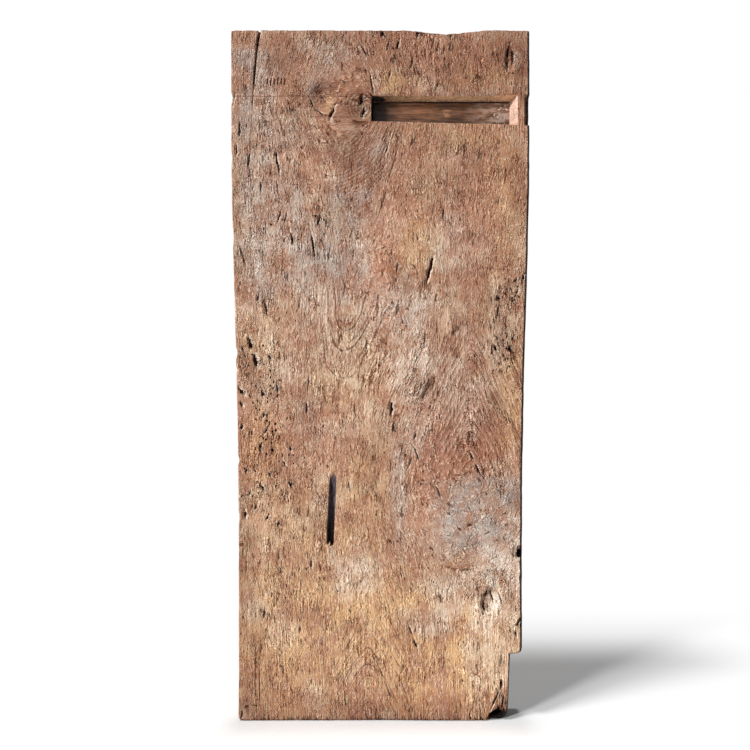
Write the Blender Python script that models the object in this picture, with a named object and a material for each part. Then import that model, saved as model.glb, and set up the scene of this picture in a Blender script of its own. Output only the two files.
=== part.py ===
"""A door hewn from one wide plank, with a wooden bolt that slides in a slot near its top.

Metres, +Z up. The front face looks along -Y and the lock edge is at +X.
The origin is on the floor under the middle of the plank.
"""

import math

import bmesh
import bpy

# Plank
DOOR_HEIGHT = 1.700
DOOR_THICKNESS = 0.066
TOP_WIDTH = 0.737
SHOULDER_DROP = 0.260      # full width from the top edge down to here
WAIST_WIDTH = 0.700
WAIST_HEIGHT = 0.300       # narrow width from the foot up to here
EDGE_SWEEP = 1.37          # how low the long edges turn in
EDGE_STEPS = 9
ARRIS = 0.005              # worn corner between face and edge
HEEL_RADIUS = 0.010        # lower corner on the hinge side
TOE_RADIUS = 0.022         # lower corner on the lock side

# Hollow worn into the top edge
DIP_OFFSET = 0.164         # right of the middle
DIP_SPAN = 0.220
DIP_DEPTH = 0.009
DIP_STEPS = 10

# Cut-out at the lower corner of the lock edge
NOTCH_HEIGHT = 0.163
NOTCH_WIDTH = 0.029
NOTCH_LEAN = 0.007         # the cut runs in by this much on its way down
LIP_RADIUS = 0.016

# Slot for the bolt, cut into the front face
SLOT_DROP = 0.163          # top edge of the door to the ceiling of the slot
SLOT_LENGTH = 0.362
SLOT_HEIGHT = 0.061
SLOT_DEPTH = 0.036         # front face to the front of the bolt
BRIDGE_WIDTH = 0.0295      # wood left between the slot and the lock edge
END_SPLAY = 0.015          # slope of the slot's end beside the bridge
SILL_WEAR = 0.009          # the worn sill drops by this much at its front corner
SCOOP_WIDTH = 0.0150       # hollow hacked off the arris beside the bolt's mouth
SCOOP_DEPTH = 0.0150

# Bolt
BOLT_THICKNESS = 0.020
TONGUE_THICKNESS = 0.014   # the part that passes the bridge is thinned at its back
BOLT_THROW = 0.080
BOLT_EASE = 0.003          # rounding of its long corners
NOSE = 0.006               # bevel at its tip
TIP_INSET = 0.010          # lock edge to the tip of the drawn bolt
HEAD_ROOM = 0.0035         # gap above the bolt
END_ROOM = 0.003           # gap behind the bolt when it is drawn
STOP_ROOM = 0.001          # left at the end of its throw
RUN_GAP = 0.0004           # sliding clearance in the mouth
REST_GAP = 0.0003          # between the bolt and the sill it lies on

# Groove burnt into the face with a hot iron in two passes
GROOVE_REACH = 0.226       # hinge edge to the middle of its foot
GROOVE_FOOT = 0.433        # height of its foot
GROOVE_LENGTH = 0.178
GROOVE_WIDTH = 0.0175
GROOVE_LEAN = 0.009
GROOVE_SHALLOW = 0.004
GROOVE_DEEP = 0.030
LOBE_STEP = 0.007          # the first pass ends this much higher

# Drying check in the top edge near the hinge side
CHECK_REACH = 0.073        # hinge edge to its mouth
CHECK_LENGTH = 0.168
CHECK_MOUTH = 0.006
CHECK_LEAN = 0.019
CHECK_DEPTH = 0.030

# Peg hole through the arris of the lock edge
PEG_HOLE = 0.0135
PEG_HEIGHT = 0.412
PEG_INSET = 0.0075
PEG_DEPTH = 0.030

# Torn-out hollows, each as wide and tall as it shows on the face
KNOT_WIDTH = 0.043
KNOT_HEIGHT = 0.058
KNOT_DEPTH = 0.015
KNOT_INSET = 0.078         # lock edge to its middle
KNOT_RISE = 0.297
GOUGE_WIDTH = 0.024
GOUGE_HEIGHT = 0.052
GOUGE_DEPTH = 0.013
GOUGE_INSET = 0.047
GOUGE_DROP = 0.073         # top edge to its middle
ROT_WIDTH = 0.038
ROT_HEIGHT = 0.056         # twice its height on the face, half of it is below the foot
ROT_DEPTH = 0.064          # twice its depth
ROT_INSET = 0.020          # toe of the plank to its middle

CUT_MARGIN = 0.010         # cutters stand clear of the face by this much

FRONT = -DOOR_THICKNESS / 2
BOLT_FACE = FRONT + SLOT_DEPTH
SLOT_TOP = DOOR_HEIGHT - SLOT_DROP
SLOT_SILL = SLOT_TOP - SLOT_HEIGHT


def half_width(z):
    """Half of the plank's width at height z: two straight lengths and an S between them."""
    shoulder = DOOR_HEIGHT - SHOULDER_DROP
    t = (z - WAIST_HEIGHT) / (shoulder - WAIST_HEIGHT)
    t = min(max(t, 0.0), 1.0)
    sweep = 0.5 - 0.5 * math.cos(math.pi * t ** EDGE_SWEEP)
    return (WAIST_WIDTH + (TOP_WIDTH - WAIST_WIDTH) * sweep) / 2


def arc(cx, cz, radius, start, end, steps):
    """Points on a circle from one angle to another, in degrees."""
    points = []
    for i in range(steps + 1):
        a = math.radians(start + (end - start) * i / steps)
        points.append((cx + radius * math.cos(a), cz + radius * math.sin(a)))
    return points


def ellipse(cx, cz, width, height, lean, steps):
    """Closed ellipse on the face, its top pushed sideways by lean."""
    points = []
    for x, z in arc(0.0, 0.0, 1.0, 0, 360 - 360 / steps, steps - 1):
        points.append((cx + x * width / 2 + z * lean / 2, cz + z * height / 2))
    return points


def material(name, colour, roughness):
    mat = bpy.data.materials.new(name)
    mat.use_nodes = True
    shader = mat.node_tree.nodes["Principled BSDF"]
    shader.inputs["Base Color"].default_value = (*colour, 1.0)
    shader.inputs["Roughness"].default_value = roughness
    return mat


def place(name, bm, mat=None, parent=None):
    """Make an object from a bmesh with its faces turned outwards."""
    bmesh.ops.recalc_face_normals(bm, faces=bm.faces)
    mesh = bpy.data.meshes.new(name)
    bm.to_mesh(mesh)
    bm.free()
    obj = bpy.data.objects.new(name, mesh)
    bpy.context.collection.objects.link(obj)
    obj.parent = parent
    if mat is not None:
        mesh.materials.append(mat)
    return obj


def loft(rings):
    """Closed body through rings that have the same number of points."""
    bm = bmesh.new()
    loops = [[bm.verts.new(p) for p in ring] for ring in rings]
    count = len(loops[0])
    for a, b in zip(loops, loops[1:]):
        for i in range(count):
            j = (i + 1) % count
            bm.faces.new((a[i], a[j], b[j], b[i]))
    bm.faces.new(loops[0])
    bm.faces.new(loops[-1])
    return bm


def block(x0, x1, y0, y1, z0, z1):
    """Straight-sided block between two corners."""
    outline = [(x0, y0), (x1, y0), (x1, y1), (x0, y1)]
    return loft([[(x, y, z) for x, y in outline] for z in (z0, z1)])


def pit(outline, depth):
    """Cutter with upright walls. depth(x, z) is how far its floor lies behind the face."""
    mouth = [(x, FRONT - CUT_MARGIN, z) for x, z in outline]
    floor = [(x, FRONT + depth(x, z), z) for x, z in outline]
    bm = loft([mouth, floor])
    bmesh.ops.triangulate(bm, faces=[f for f in bm.faces if len(f.verts) > 4])
    return bm


def cut(target, name, bm):
    """Take a cutter out of the target."""
    cutter = place(name, bm, parent=target.parent)
    cutter.hide_render = True
    cutter.display_type = "WIRE"
    boolean = target.modifiers.new(name, "BOOLEAN")
    boolean.operation = "DIFFERENCE"
    boolean.solver = "EXACT"
    boolean.object = cutter


def soften(obj, width, segments):
    """Round the sharp corners of an object."""
    bevel = obj.modifiers.new("worn corners", "BEVEL")
    bevel.width = width
    bevel.segments = segments
    bevel.limit_method = "ANGLE"
    bevel.angle_limit = math.radians(40)


def plank_outline():
    """Outline of the plank seen from the front, counter-clockwise from the hinge side's foot."""
    heel = half_width(0.0)
    lip = half_width(NOTCH_HEIGHT)
    inner = lip - NOTCH_WIDTH
    toe = inner - NOTCH_LEAN
    points = arc(HEEL_RADIUS - heel, HEEL_RADIUS, HEEL_RADIUS, 180, 270, 4)
    points += arc(toe - TOE_RADIUS, TOE_RADIUS, TOE_RADIUS, 270, 360, 4)
    points.append((inner, NOTCH_HEIGHT))
    points += arc(lip - LIP_RADIUS, NOTCH_HEIGHT + LIP_RADIUS, LIP_RADIUS, 270, 360, 4)

    shoulder = DOOR_HEIGHT - SHOULDER_DROP
    run = [WAIST_HEIGHT + (shoulder - WAIST_HEIGHT) * i / EDGE_STEPS for i in range(EDGE_STEPS + 1)]
    run.append(DOOR_HEIGHT)
    points += [(half_width(z), z) for z in run]
    for i in range(DIP_STEPS + 1):
        u = 1 - 2 * i / DIP_STEPS
        sag = DIP_DEPTH * (0.5 + 0.5 * math.cos(math.pi * u))
        points.append((DIP_OFFSET + u * DIP_SPAN / 2, DOOR_HEIGHT - sag))
    points += [(-half_width(z), z) for z in reversed(run)]
    return points


def cut_bolt_way(plank):
    """Slot with its splayed end, the pocket for the bolt, and the way out behind the bridge."""
    edge = half_width(SLOT_SILL)
    right = edge - BRIDGE_WIDTH
    left = right - SLOT_LENGTH
    stop = right - END_SPLAY
    face = [(left, SLOT_SILL), (right, SLOT_SILL - SILL_WEAR), (right, SLOT_TOP), (left, SLOT_TOP)]
    back = [(left, SLOT_SILL), (stop, SLOT_SILL), (stop, SLOT_TOP), (left, SLOT_TOP)]
    past = 1 + CUT_MARGIN / SLOT_DEPTH
    mouth = [(b[0] + (f[0] - b[0]) * past, b[1] + (f[1] - b[1]) * past) for f, b in zip(face, back)]
    rings = [
        [(x, FRONT - CUT_MARGIN, z) for x, z in mouth],
        [(x, BOLT_FACE, z) for x, z in back],
        [(x, BOLT_FACE + BOLT_THICKNESS + RUN_GAP, z) for x, z in back],
    ]
    cut(plank, "cut slot", loft(rings))

    near = BOLT_FACE - RUN_GAP
    far = BOLT_FACE + TONGUE_THICKNESS + RUN_GAP
    tunnel = block(stop - CUT_MARGIN, edge + CUT_MARGIN, near, far, SLOT_SILL, SLOT_TOP)
    cut(plank, "cut bolt mouth", tunnel)

    # the slope of the scoop runs on past both faces so that it leaves no sliver
    slope = SCOOP_WIDTH / SCOOP_DEPTH
    corner = [
        (edge - SCOOP_WIDTH - CUT_MARGIN * slope, FRONT - CUT_MARGIN),
        (edge + CUT_MARGIN * slope, FRONT - CUT_MARGIN),
        (edge + CUT_MARGIN * slope, FRONT + SCOOP_DEPTH + CUT_MARGIN),
    ]
    ends = (SLOT_SILL - SILL_WEAR, SLOT_TOP)
    cut(plank, "cut scoop", loft([[(x, y, z) for x, y in corner] for z in ends]))


def cut_groove(plank):
    """Burnt groove: rounded at its head, two lobes at its foot, and deeper towards the foot."""
    foot_x = GROOVE_REACH - half_width(GROOVE_FOOT)
    half = GROOVE_WIDTH / 2
    lobe = GROOVE_WIDTH / 4
    outline = arc(-lobe, LOBE_STEP + lobe, lobe, 180, 330, 4)
    outline += arc(lobe, lobe, lobe, 210, 360, 4)
    outline += arc(0.0, GROOVE_LENGTH - half, half, 0, 180, 8)
    leaning = [(foot_x + x + GROOVE_LEAN * z / GROOVE_LENGTH, GROOVE_FOOT + z) for x, z in outline]

    def depth(x, z):
        t = (z - GROOVE_FOOT) / GROOVE_LENGTH
        return GROOVE_DEEP + (GROOVE_SHALLOW - GROOVE_DEEP) * t

    cut(plank, "cut groove", pit(leaning, depth))


def cut_check(plank):
    """Drying check that runs down from the top edge and closes to a point."""
    mouth_x = CHECK_REACH - half_width(DOOR_HEIGHT)
    top = DOOR_HEIGHT + CUT_MARGIN
    end = DOOR_HEIGHT - CHECK_LENGTH
    middle = DOOR_HEIGHT - CHECK_LENGTH / 2
    outline = [
        (mouth_x - CHECK_MOUTH / 2, top),
        (mouth_x - CHECK_MOUTH / 2 - CHECK_LEAN * 0.6, middle),
        (mouth_x - CHECK_LEAN, end),
        (mouth_x + CHECK_MOUTH / 4 - CHECK_LEAN * 0.6, middle),
        (mouth_x + CHECK_MOUTH / 2, top),
    ]

    def depth(x, z):
        return CHECK_DEPTH * (0.3 + 0.7 * (z - end) / CHECK_LENGTH)

    cut(plank, "cut check", pit(outline, depth))


def cut_hollows(plank):
    """Torn-out knot, gouge, peg hole and rotted toe."""
    knot_x = half_width(KNOT_RISE) - KNOT_INSET
    knot = ellipse(knot_x, KNOT_RISE, KNOT_WIDTH, KNOT_HEIGHT, KNOT_WIDTH * 0.4, 12)

    def knot_depth(x, z):
        return KNOT_DEPTH * (0.55 - 0.75 * (x - knot_x) / KNOT_WIDTH)

    cut(plank, "cut knot", pit(knot, knot_depth))

    gouge_z = DOOR_HEIGHT - GOUGE_DROP
    gouge_x = half_width(gouge_z) - GOUGE_INSET
    gouge = ellipse(gouge_x, gouge_z, GOUGE_WIDTH, GOUGE_HEIGHT, 0.0, 12)

    def gouge_depth(x, z):
        return GOUGE_DEPTH * (0.55 - 0.75 * (x - gouge_x) / GOUGE_WIDTH)

    cut(plank, "cut gouge", pit(gouge, gouge_depth))

    peg_x = half_width(PEG_HEIGHT) - PEG_INSET
    peg = ellipse(peg_x, PEG_HEIGHT, PEG_HOLE, PEG_HOLE * 1.2, 0.0, 12)
    cut(plank, "cut peg hole", pit(peg, lambda x, z: PEG_DEPTH))

    toe = half_width(NOTCH_HEIGHT) - NOTCH_WIDTH - NOTCH_LEAN
    rot = bmesh.new()
    bmesh.ops.create_icosphere(rot, subdivisions=2, radius=0.5)
    bmesh.ops.scale(rot, vec=(ROT_WIDTH, ROT_DEPTH, ROT_HEIGHT), verts=rot.verts)
    bmesh.ops.translate(rot, vec=(toe - ROT_INSET, FRONT, 0.0), verts=rot.verts)
    cut(plank, "cut rot", rot)


def build_plank(parent):
    wood = material("weathered plank wood", (0.36, 0.21, 0.125), 0.85)
    outline = plank_outline()
    rings = [[(x, y, z) for x, z in outline] for y in (FRONT, FRONT + DOOR_THICKNESS)]
    plank = place("door_plank", loft(rings), wood, parent)
    soften(plank, ARRIS, 2)
    cut_bolt_way(plank)
    cut_groove(plank)
    cut_check(plank)
    cut_hollows(plank)


def build_bolt(parent):
    """Drawn bolt. Its shoulder meets the end of the pocket when the throw is used up."""
    wood = material("dark bolt wood", (0.13, 0.075, 0.05), 0.75)
    edge = half_width(SLOT_SILL)
    stop = edge - BRIDGE_WIDTH - END_SPLAY
    heel = edge - BRIDGE_WIDTH - SLOT_LENGTH + END_ROOM
    shoulder = stop - BOLT_THROW - STOP_ROOM - BOLT_EASE  # its inner corner is rounded too
    tip = edge - TIP_INSET
    tongue_back = BOLT_FACE + TONGUE_THICKNESS
    body_back = BOLT_FACE + BOLT_THICKNESS
    plan = [
        (heel, BOLT_FACE),
        (tip - NOSE, BOLT_FACE),
        (tip, BOLT_FACE + NOSE / 2),
        (tip, tongue_back - NOSE / 2),
        (tip - NOSE, tongue_back),
        (shoulder, tongue_back),
        (shoulder, body_back),
        (heel, body_back),
    ]
    bottom = SLOT_SILL + REST_GAP
    height = SLOT_HEIGHT - REST_GAP - HEAD_ROOM
    origin = ((heel + tip) / 2, (BOLT_FACE + tongue_back) / 2, bottom + height / 2)
    rings = [[(x - origin[0], y - origin[1], z) for x, y in plan] for z in (-height / 2, height / 2)]
    bolt = place("sliding_bolt", loft(rings), wood, parent)
    bolt.location = origin
    soften(bolt, BOLT_EASE, 2)


def main():
    for obj in list(bpy.data.objects):
        bpy.data.objects.remove(obj, do_unlink=True)
    door = bpy.data.objects.new("plank_door", None)
    bpy.context.collection.objects.link(door)
    build_plank(door)
    build_bolt(door)


main()
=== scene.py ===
import functools
import math

import bmesh
import bpy
import numpy as np
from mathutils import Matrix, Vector


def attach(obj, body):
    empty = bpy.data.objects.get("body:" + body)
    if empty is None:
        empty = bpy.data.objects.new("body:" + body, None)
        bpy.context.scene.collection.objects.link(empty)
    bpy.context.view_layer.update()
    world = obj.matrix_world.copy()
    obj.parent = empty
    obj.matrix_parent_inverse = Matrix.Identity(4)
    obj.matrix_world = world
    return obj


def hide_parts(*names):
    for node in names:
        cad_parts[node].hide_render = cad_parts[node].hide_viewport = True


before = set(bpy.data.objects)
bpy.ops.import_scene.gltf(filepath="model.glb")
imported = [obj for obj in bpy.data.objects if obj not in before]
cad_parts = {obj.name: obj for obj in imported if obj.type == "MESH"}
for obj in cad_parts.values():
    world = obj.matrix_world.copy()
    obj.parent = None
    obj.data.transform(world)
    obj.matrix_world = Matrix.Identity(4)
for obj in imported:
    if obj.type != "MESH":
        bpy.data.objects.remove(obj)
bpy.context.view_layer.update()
print("frame loaded:", sorted(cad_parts))


# 0 up to low, 1 from high on, an S between them; falls where low is the greater one
def ease(low, high, value):
    t = np.clip((value - low) / (high - low), 0.0, 1.0)
    return t * t * (3.0 - 2.0 * t)


# sRGB hex to linear
def linear(code):
    c = np.array([int(code[k:k + 2], 16) for k in (1, 3, 5)]) / 255
    c = np.where(c <= 0.04045, c / 12.92, ((c + 0.055) / 1.055) ** 2.4)
    return (*c.tolist(), 1.0)


# soft lumps: a random height at every whole number, eased from one to the next, -1 to 1
def lumps(x, y, seed):
    x, y = np.broadcast_arrays(np.asarray(x, float), np.asarray(y, float))
    xi, yi = np.floor(x).astype(np.int64), np.floor(y).astype(np.int64)
    fx, fy = ease(0.0, 1.0, x - xi), ease(0.0, 1.0, y - yi)

    def corner(a, b):
        h = (a * 374761393 + b * 668265263 + seed * 974634221) & 0xFFFFFFFF
        h = ((h ^ (h >> 13)) * 1274126177) & 0xFFFFFFFF
        return ((h ^ (h >> 16)) & 0xFFFF) / 32767.5 - 1.0

    low = corner(xi, yi) * (1 - fx) + corner(xi + 1, yi) * fx
    high = corner(xi, yi + 1) * (1 - fx) + corner(xi + 1, yi + 1) * fx
    return low * (1 - fy) + high * fy


# grid lines from stretches of (start, end, spacing); the count of gaps is a multiple of three
def gridLines(stretches):
    counts = [max(1, math.ceil((b - a) / s - 1e-6)) for a, b, s in stretches]
    counts[int(np.argmax(counts))] += -sum(counts) % 3
    lines = [np.linspace(a, b, n, endpoint=False) for (a, b, _), n in zip(stretches, counts)]
    return np.append(np.concatenate(lines), stretches[-1][1])


# points and faces of one closed mesh, gathered patch by patch
class Patchwork:
    def __init__(self):
        self.points = []
        self.count = 0
        self.faces = []

    def addPoints(self, x, y, z):
        block = np.stack(np.broadcast_arrays(x, y, z), -1).astype(float)
        ids = np.arange(self.count, self.count + block[..., 0].size).reshape(block.shape[:-1])
        self.points.append(block.reshape(-1, 3))
        self.count += ids.size
        return ids

    def addSheet(self, ids, skip=None):  # quads over a grid of point numbers
        quads = np.stack([ids[:-1, :-1], ids[1:, :-1], ids[1:, 1:], ids[:-1, 1:]], -1)
        keep = np.ones(quads.shape[:2], bool) if skip is None else ~skip
        self.faces.append(quads[keep])

    def addBand(self, inner, outer, skip=slice(0, 0)):  # quads between two closed loops
        quads = np.stack([inner, np.roll(inner, -1), np.roll(outer, -1), outer], -1)
        self.faces.append(np.delete(quads, skip, 0))

    def addCoarseBand(self, fine, coarse):  # three gaps of one loop meet one gap of the other
        a = np.stack([np.roll(fine, -k)[::3] for k in range(4)], -1)
        self.faces.append(np.concatenate([a, np.roll(coarse, -1)[:, None], coarse[:, None]], 1))

    def build(self, name, attributes):
        points = np.concatenate(self.points)
        mesh = bpy.data.meshes.new(name)
        mesh.vertices.add(len(points))
        mesh.vertices.foreach_set("co", points.astype(np.float32).ravel())
        sizes = np.concatenate([np.full(len(f), f.shape[1]) for f in self.faces])
        corners = np.concatenate([f.ravel() for f in self.faces])
        mesh.loops.add(len(corners))
        mesh.loops.foreach_set("vertex_index", corners.astype(np.int32))
        mesh.polygons.add(len(sizes))
        mesh.polygons.foreach_set("loop_start", (np.cumsum(sizes) - sizes).astype(np.int32))
        mesh.update(calc_edges=True)
        mesh.validate()
        for key, values in attributes.items():  # four numbers a point
            made = mesh.attributes.new(key, "FLOAT_COLOR", "POINT")
            made.data.foreach_set("color", values.astype(np.float32).ravel())
        work = bmesh.new()
        work.from_mesh(mesh)
        bmesh.ops.recalc_face_normals(work, faces=work.faces)
        work.to_mesh(mesh)
        work.free()
        mesh.shade_smooth()
        mesh.set_sharp_from_angle(angle=math.radians(55))
        piece = bpy.data.objects.new(name, mesh)
        bpy.context.scene.collection.objects.link(piece)
        return piece


plank = {  # metres, as the solid has them
    "height": 1.7,
    "thickness": 0.066,
    "topHalf": 0.3685,
    "waistHalf": 0.35,
    "waist": 0.3,
    "shoulder": 1.44,
    "sweep": 1.37,
    "arris": 0.005,  # worn round between face and edge
    "heel": 0.01,
    "toe": 0.022,
    "dipAt": 0.164,  # hollow in the top edge
    "dipHalf": 0.11,
    "dipDepth": 0.009,
    "notchTop": 0.168,
    "notchWidth": 0.029,
    "notchLean": 0.007,
    "lip": 0.016,
    "slotLeft": -0.023,
    "slotRight": 0.339,
    "slotStop": 0.324,
    "sill": 1.476,
    "ceiling": 1.537,
    "sillWear": 0.0098,
    "boltDepth": 0.036,
    "mouthNear": 0.0356,
    "mouthFar": 0.0504,
    "pocketDepth": 0.0564,
    "scoop": 0.015,
}


# half of the width by height: two straight lengths and an S between them
def halfWidth(z):
    t = np.clip((z - plank["waist"]) / (plank["shoulder"] - plank["waist"]), 0.0, 1.0)
    s = 0.5 - 0.5 * np.cos(np.pi * t ** plank["sweep"])
    return plank["waistHalf"] + (plank["topHalf"] - plank["waistHalf"]) * s


# how far a round corner draws an edge back, by how much height is left to the corner's end
def rounding(size, left):
    radius = size - plank["arris"]
    return radius - np.sqrt(np.maximum(radius ** 2 - np.clip(left, 0.0, radius) ** 2, 0.0))


# how far the lock edge is cut back by height: notch, rounded lip and rounded toe
def lockCutBack(z):
    top = plank["notchTop"]
    lip = rounding(plank["lip"], plank["lip"] - (z - top + plank["arris"]))
    notch = plank["notchWidth"] + plank["notchLean"] * (1.0 - z / top) + rounding(plank["toe"], plank["toe"] - z)
    above = ease(top - 0.0012, top + 0.0012, z)
    return notch * (1 - above) + lip * above


# top edge: the worn dip, and small breaks at the ends of the fibres
def topEdge(x):
    u = np.clip((x - plank["dipAt"]) / plank["dipHalf"], -1.0, 1.0)
    dip = plank["dipDepth"] * (0.5 + 0.5 * np.cos(np.pi * u))
    breaks = 0.0006 * (1 + lumps(x / 0.016, 3.1, 11)) + 0.0008 * (1 + lumps(x / 0.0062, 8.3, 12))
    return plank["height"] - dip - breaks


# dents of the two long edges, by height; the edge away from the bolt has bites: height, half length, depth (mm)
bites = [
    (1530, 20, 3.0), (1385, 16, 2.0), (1190, 30, 2.4), (905, 16, 3.4), (862, 12, 2.0), (640, 14, 3.4), (500, 20, 1.6),
]


def edgeRag(z, side):
    rag = 0.0003 * (1 + lumps(z / 0.12, 1.7, 20 + side)) + 0.00045 * (1 + lumps(z / 0.021, 5.9, 30 + side))
    for at, high, deep in bites if side == 0 else []:
        rag = rag + deep / 1000 * ease(1.0, 0.2, abs(z - at / 1000) / (high / 1000))
    return rag


# pushes the face in: an ellipse at (x, z), its floor deeper on one side
def hollow(x, z, at, size, depth, tilt, lean, wall):
    dz = (z - at[1]) / (size[1] / 2)
    dx = (x - at[0] - dz * lean / 2) / (size[0] / 2)
    r = np.hypot(dx, dz)
    return depth * (1.0 - tilt * dx) * ease(1.0 + wall, 1.0 - wall, r)


# burnt groove: deep at its foot and on its left, two lobes at the foot with a ridge between them
groove = {"foot": (-0.1242, 0.431), "head": (-0.1152, 0.613), "width": 0.0175, "deep": 0.03, "shallow": 0.003}


def grooveDepth(x, z):
    length = groove["head"][1] - groove["foot"][1]
    t = (z - groove["foot"][1]) / length
    middle = groove["foot"][0] + (groove["head"][0] - groove["foot"][0]) * t
    s = (x - middle) / (groove["width"] / 2)
    footStart = np.where(s < 0, 0.03, 0.0) + 0.018 * np.abs(np.abs(s) - 0.5) ** 2 * 4
    headEnd = 1.0 - 0.06 * s * s
    soft = 0.0014 / length
    inside = ease(footStart - soft, footStart + soft, t) * ease(headEnd + soft, headEnd - 10 * soft, t)
    inside = inside * ease(1.1, 0.86, np.abs(s))
    floor = groove["deep"] + (groove["shallow"] - groove["deep"]) * np.clip(t, 0, 1)
    ridge = 1.0 - 0.55 * np.exp(-(s / 0.22) ** 2) * np.exp(-(t / 0.1) ** 2)
    return floor * (1.0 - 0.28 * s) * inside * ridge, inside


# drying check: the line it runs down, its width at the top edge and its depth
check = {
    "path": ((-0.296, 1.7), (-0.3045, 1.648), (-0.312, 1.55), (-0.3145, 1.52)), "mouth": 0.004, "depth": 0.014,
}


# signed distance across a crooked line and the way along it, 0 to 1
def acrossAndAlong(x, z, path):
    path = np.asarray(path, float)
    lengths = np.hypot(*(path[1:] - path[:-1]).T)
    best = np.full(np.shape(x), 1e9)
    across, along = np.zeros(np.shape(x)), np.zeros(np.shape(x))
    start = 0.0
    for (ax, az), (bx, bz), length in zip(path[:-1], path[1:], lengths):
        tx, tz = (bx - ax) / length, (bz - az) / length
        t = (x - ax) * tx + (z - az) * tz
        s = (x - ax) * tz - (z - az) * tx
        miss = np.hypot(s, t - np.clip(t, 0, length))
        near = miss < best
        best = np.where(near, miss, best)
        across = np.where(near, s, across)
        along = np.where(near, start + t, along)
        start += length
    return across, along / lengths.sum()


def checkDepth(x, z):
    s, t = acrossAndAlong(x, z, check["path"])
    t = np.clip(t, 0, 1)
    half = check["mouth"] / 2 * (1 - t) ** 0.7 + 0.0004
    inside = ease(half + 0.0012, half * 0.5, np.abs(s)) * ease(1.0, 0.97, t)
    return check["depth"] * (1 - 0.8 * t) * inside


# torn and rotted places: middle, size, depth, fall of the floor to the left, lean, softness of the wall
hollows = {
    "knot": ((0.272, 0.297), (0.043, 0.058), 0.008, 0.45, 0.017, 0.3),
    "gouge": ((0.3215, 1.627), (0.024, 0.052), 0.006, 0.5, 0.0, 0.35),
    "rot": ((0.289, 0.007), (0.043, 0.04), 0.03, 0.1, 0.0, 0.3),
    "knotDish": ((-0.138, 1.52), (0.052, 0.066), 0.0035, 0.6, -0.012, 0.35),
    "rotPit": ((0.2975, 0.089), (0.008, 0.016), 0.012, 0.0, 0.0, 0.25),
    "chip": ((0.118, 0.815), (0.016, 0.052), 0.006, 0.3, 0.03, 0.35),
    "pegHole": ((0.3425, 0.412), (0.0135, 0.0165), 0.022, 0.0, 0.0, 0.12),
}


# the rotten corner has a torn upper edge
def splintered(x, z):
    return z + 0.007 * lumps(x / 0.0062, 1.3, 47) * ease(0.0, 0.012, z)


# share of the rotten corner at each point
def rotShare(x, z):
    at, size, _, _, lean, wall = hollows["rot"]
    return ease(0.35, 0.75, hollow(x, splintered(x, z), at, size, 1.0, 0.0, lean, wall))


# relief of the front face, all of it inwards
def faceDepth(x, z):
    hewn = 0.001 * (1 + lumps(x / 0.19, z / 0.33, 1)) + 0.0004 * (1 + lumps(x / 0.07, z / 0.12, 2))
    fibre = 0.00028 * (1 + lumps(x / 0.0105, z / 0.16, 3)) + 0.00022 * (1 + lumps(x / 0.022, z / 0.07, 4))
    depth = hewn + fibre
    for key, (at, size, deep, tilt, lean, wall) in hollows.items():
        depth = depth + hollow(x, splintered(x, z) if key == "rot" else z, at, size, deep, tilt, lean, wall)
    depth = np.maximum(depth, grooveDepth(x, z)[0])
    return np.maximum(depth, checkDepth(x, z))


# hollow hacked off the arris beside the mouth of the bolt
def scoopDepth(x, z):
    low = plank["sill"] - plank["sillWear"]
    band = ease(low - 0.002, low + 0.001, z)
    band = band * ease(plank["ceiling"] + 0.002, plank["ceiling"] - 0.001, z)
    brow = plank["topHalf"] - plank["scoop"]
    return (0.0145 * ease(brow - 0.0008, brow + 0.0045, x) + 0.1 * np.clip(x - brow, 0.0, None)) * band


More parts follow.
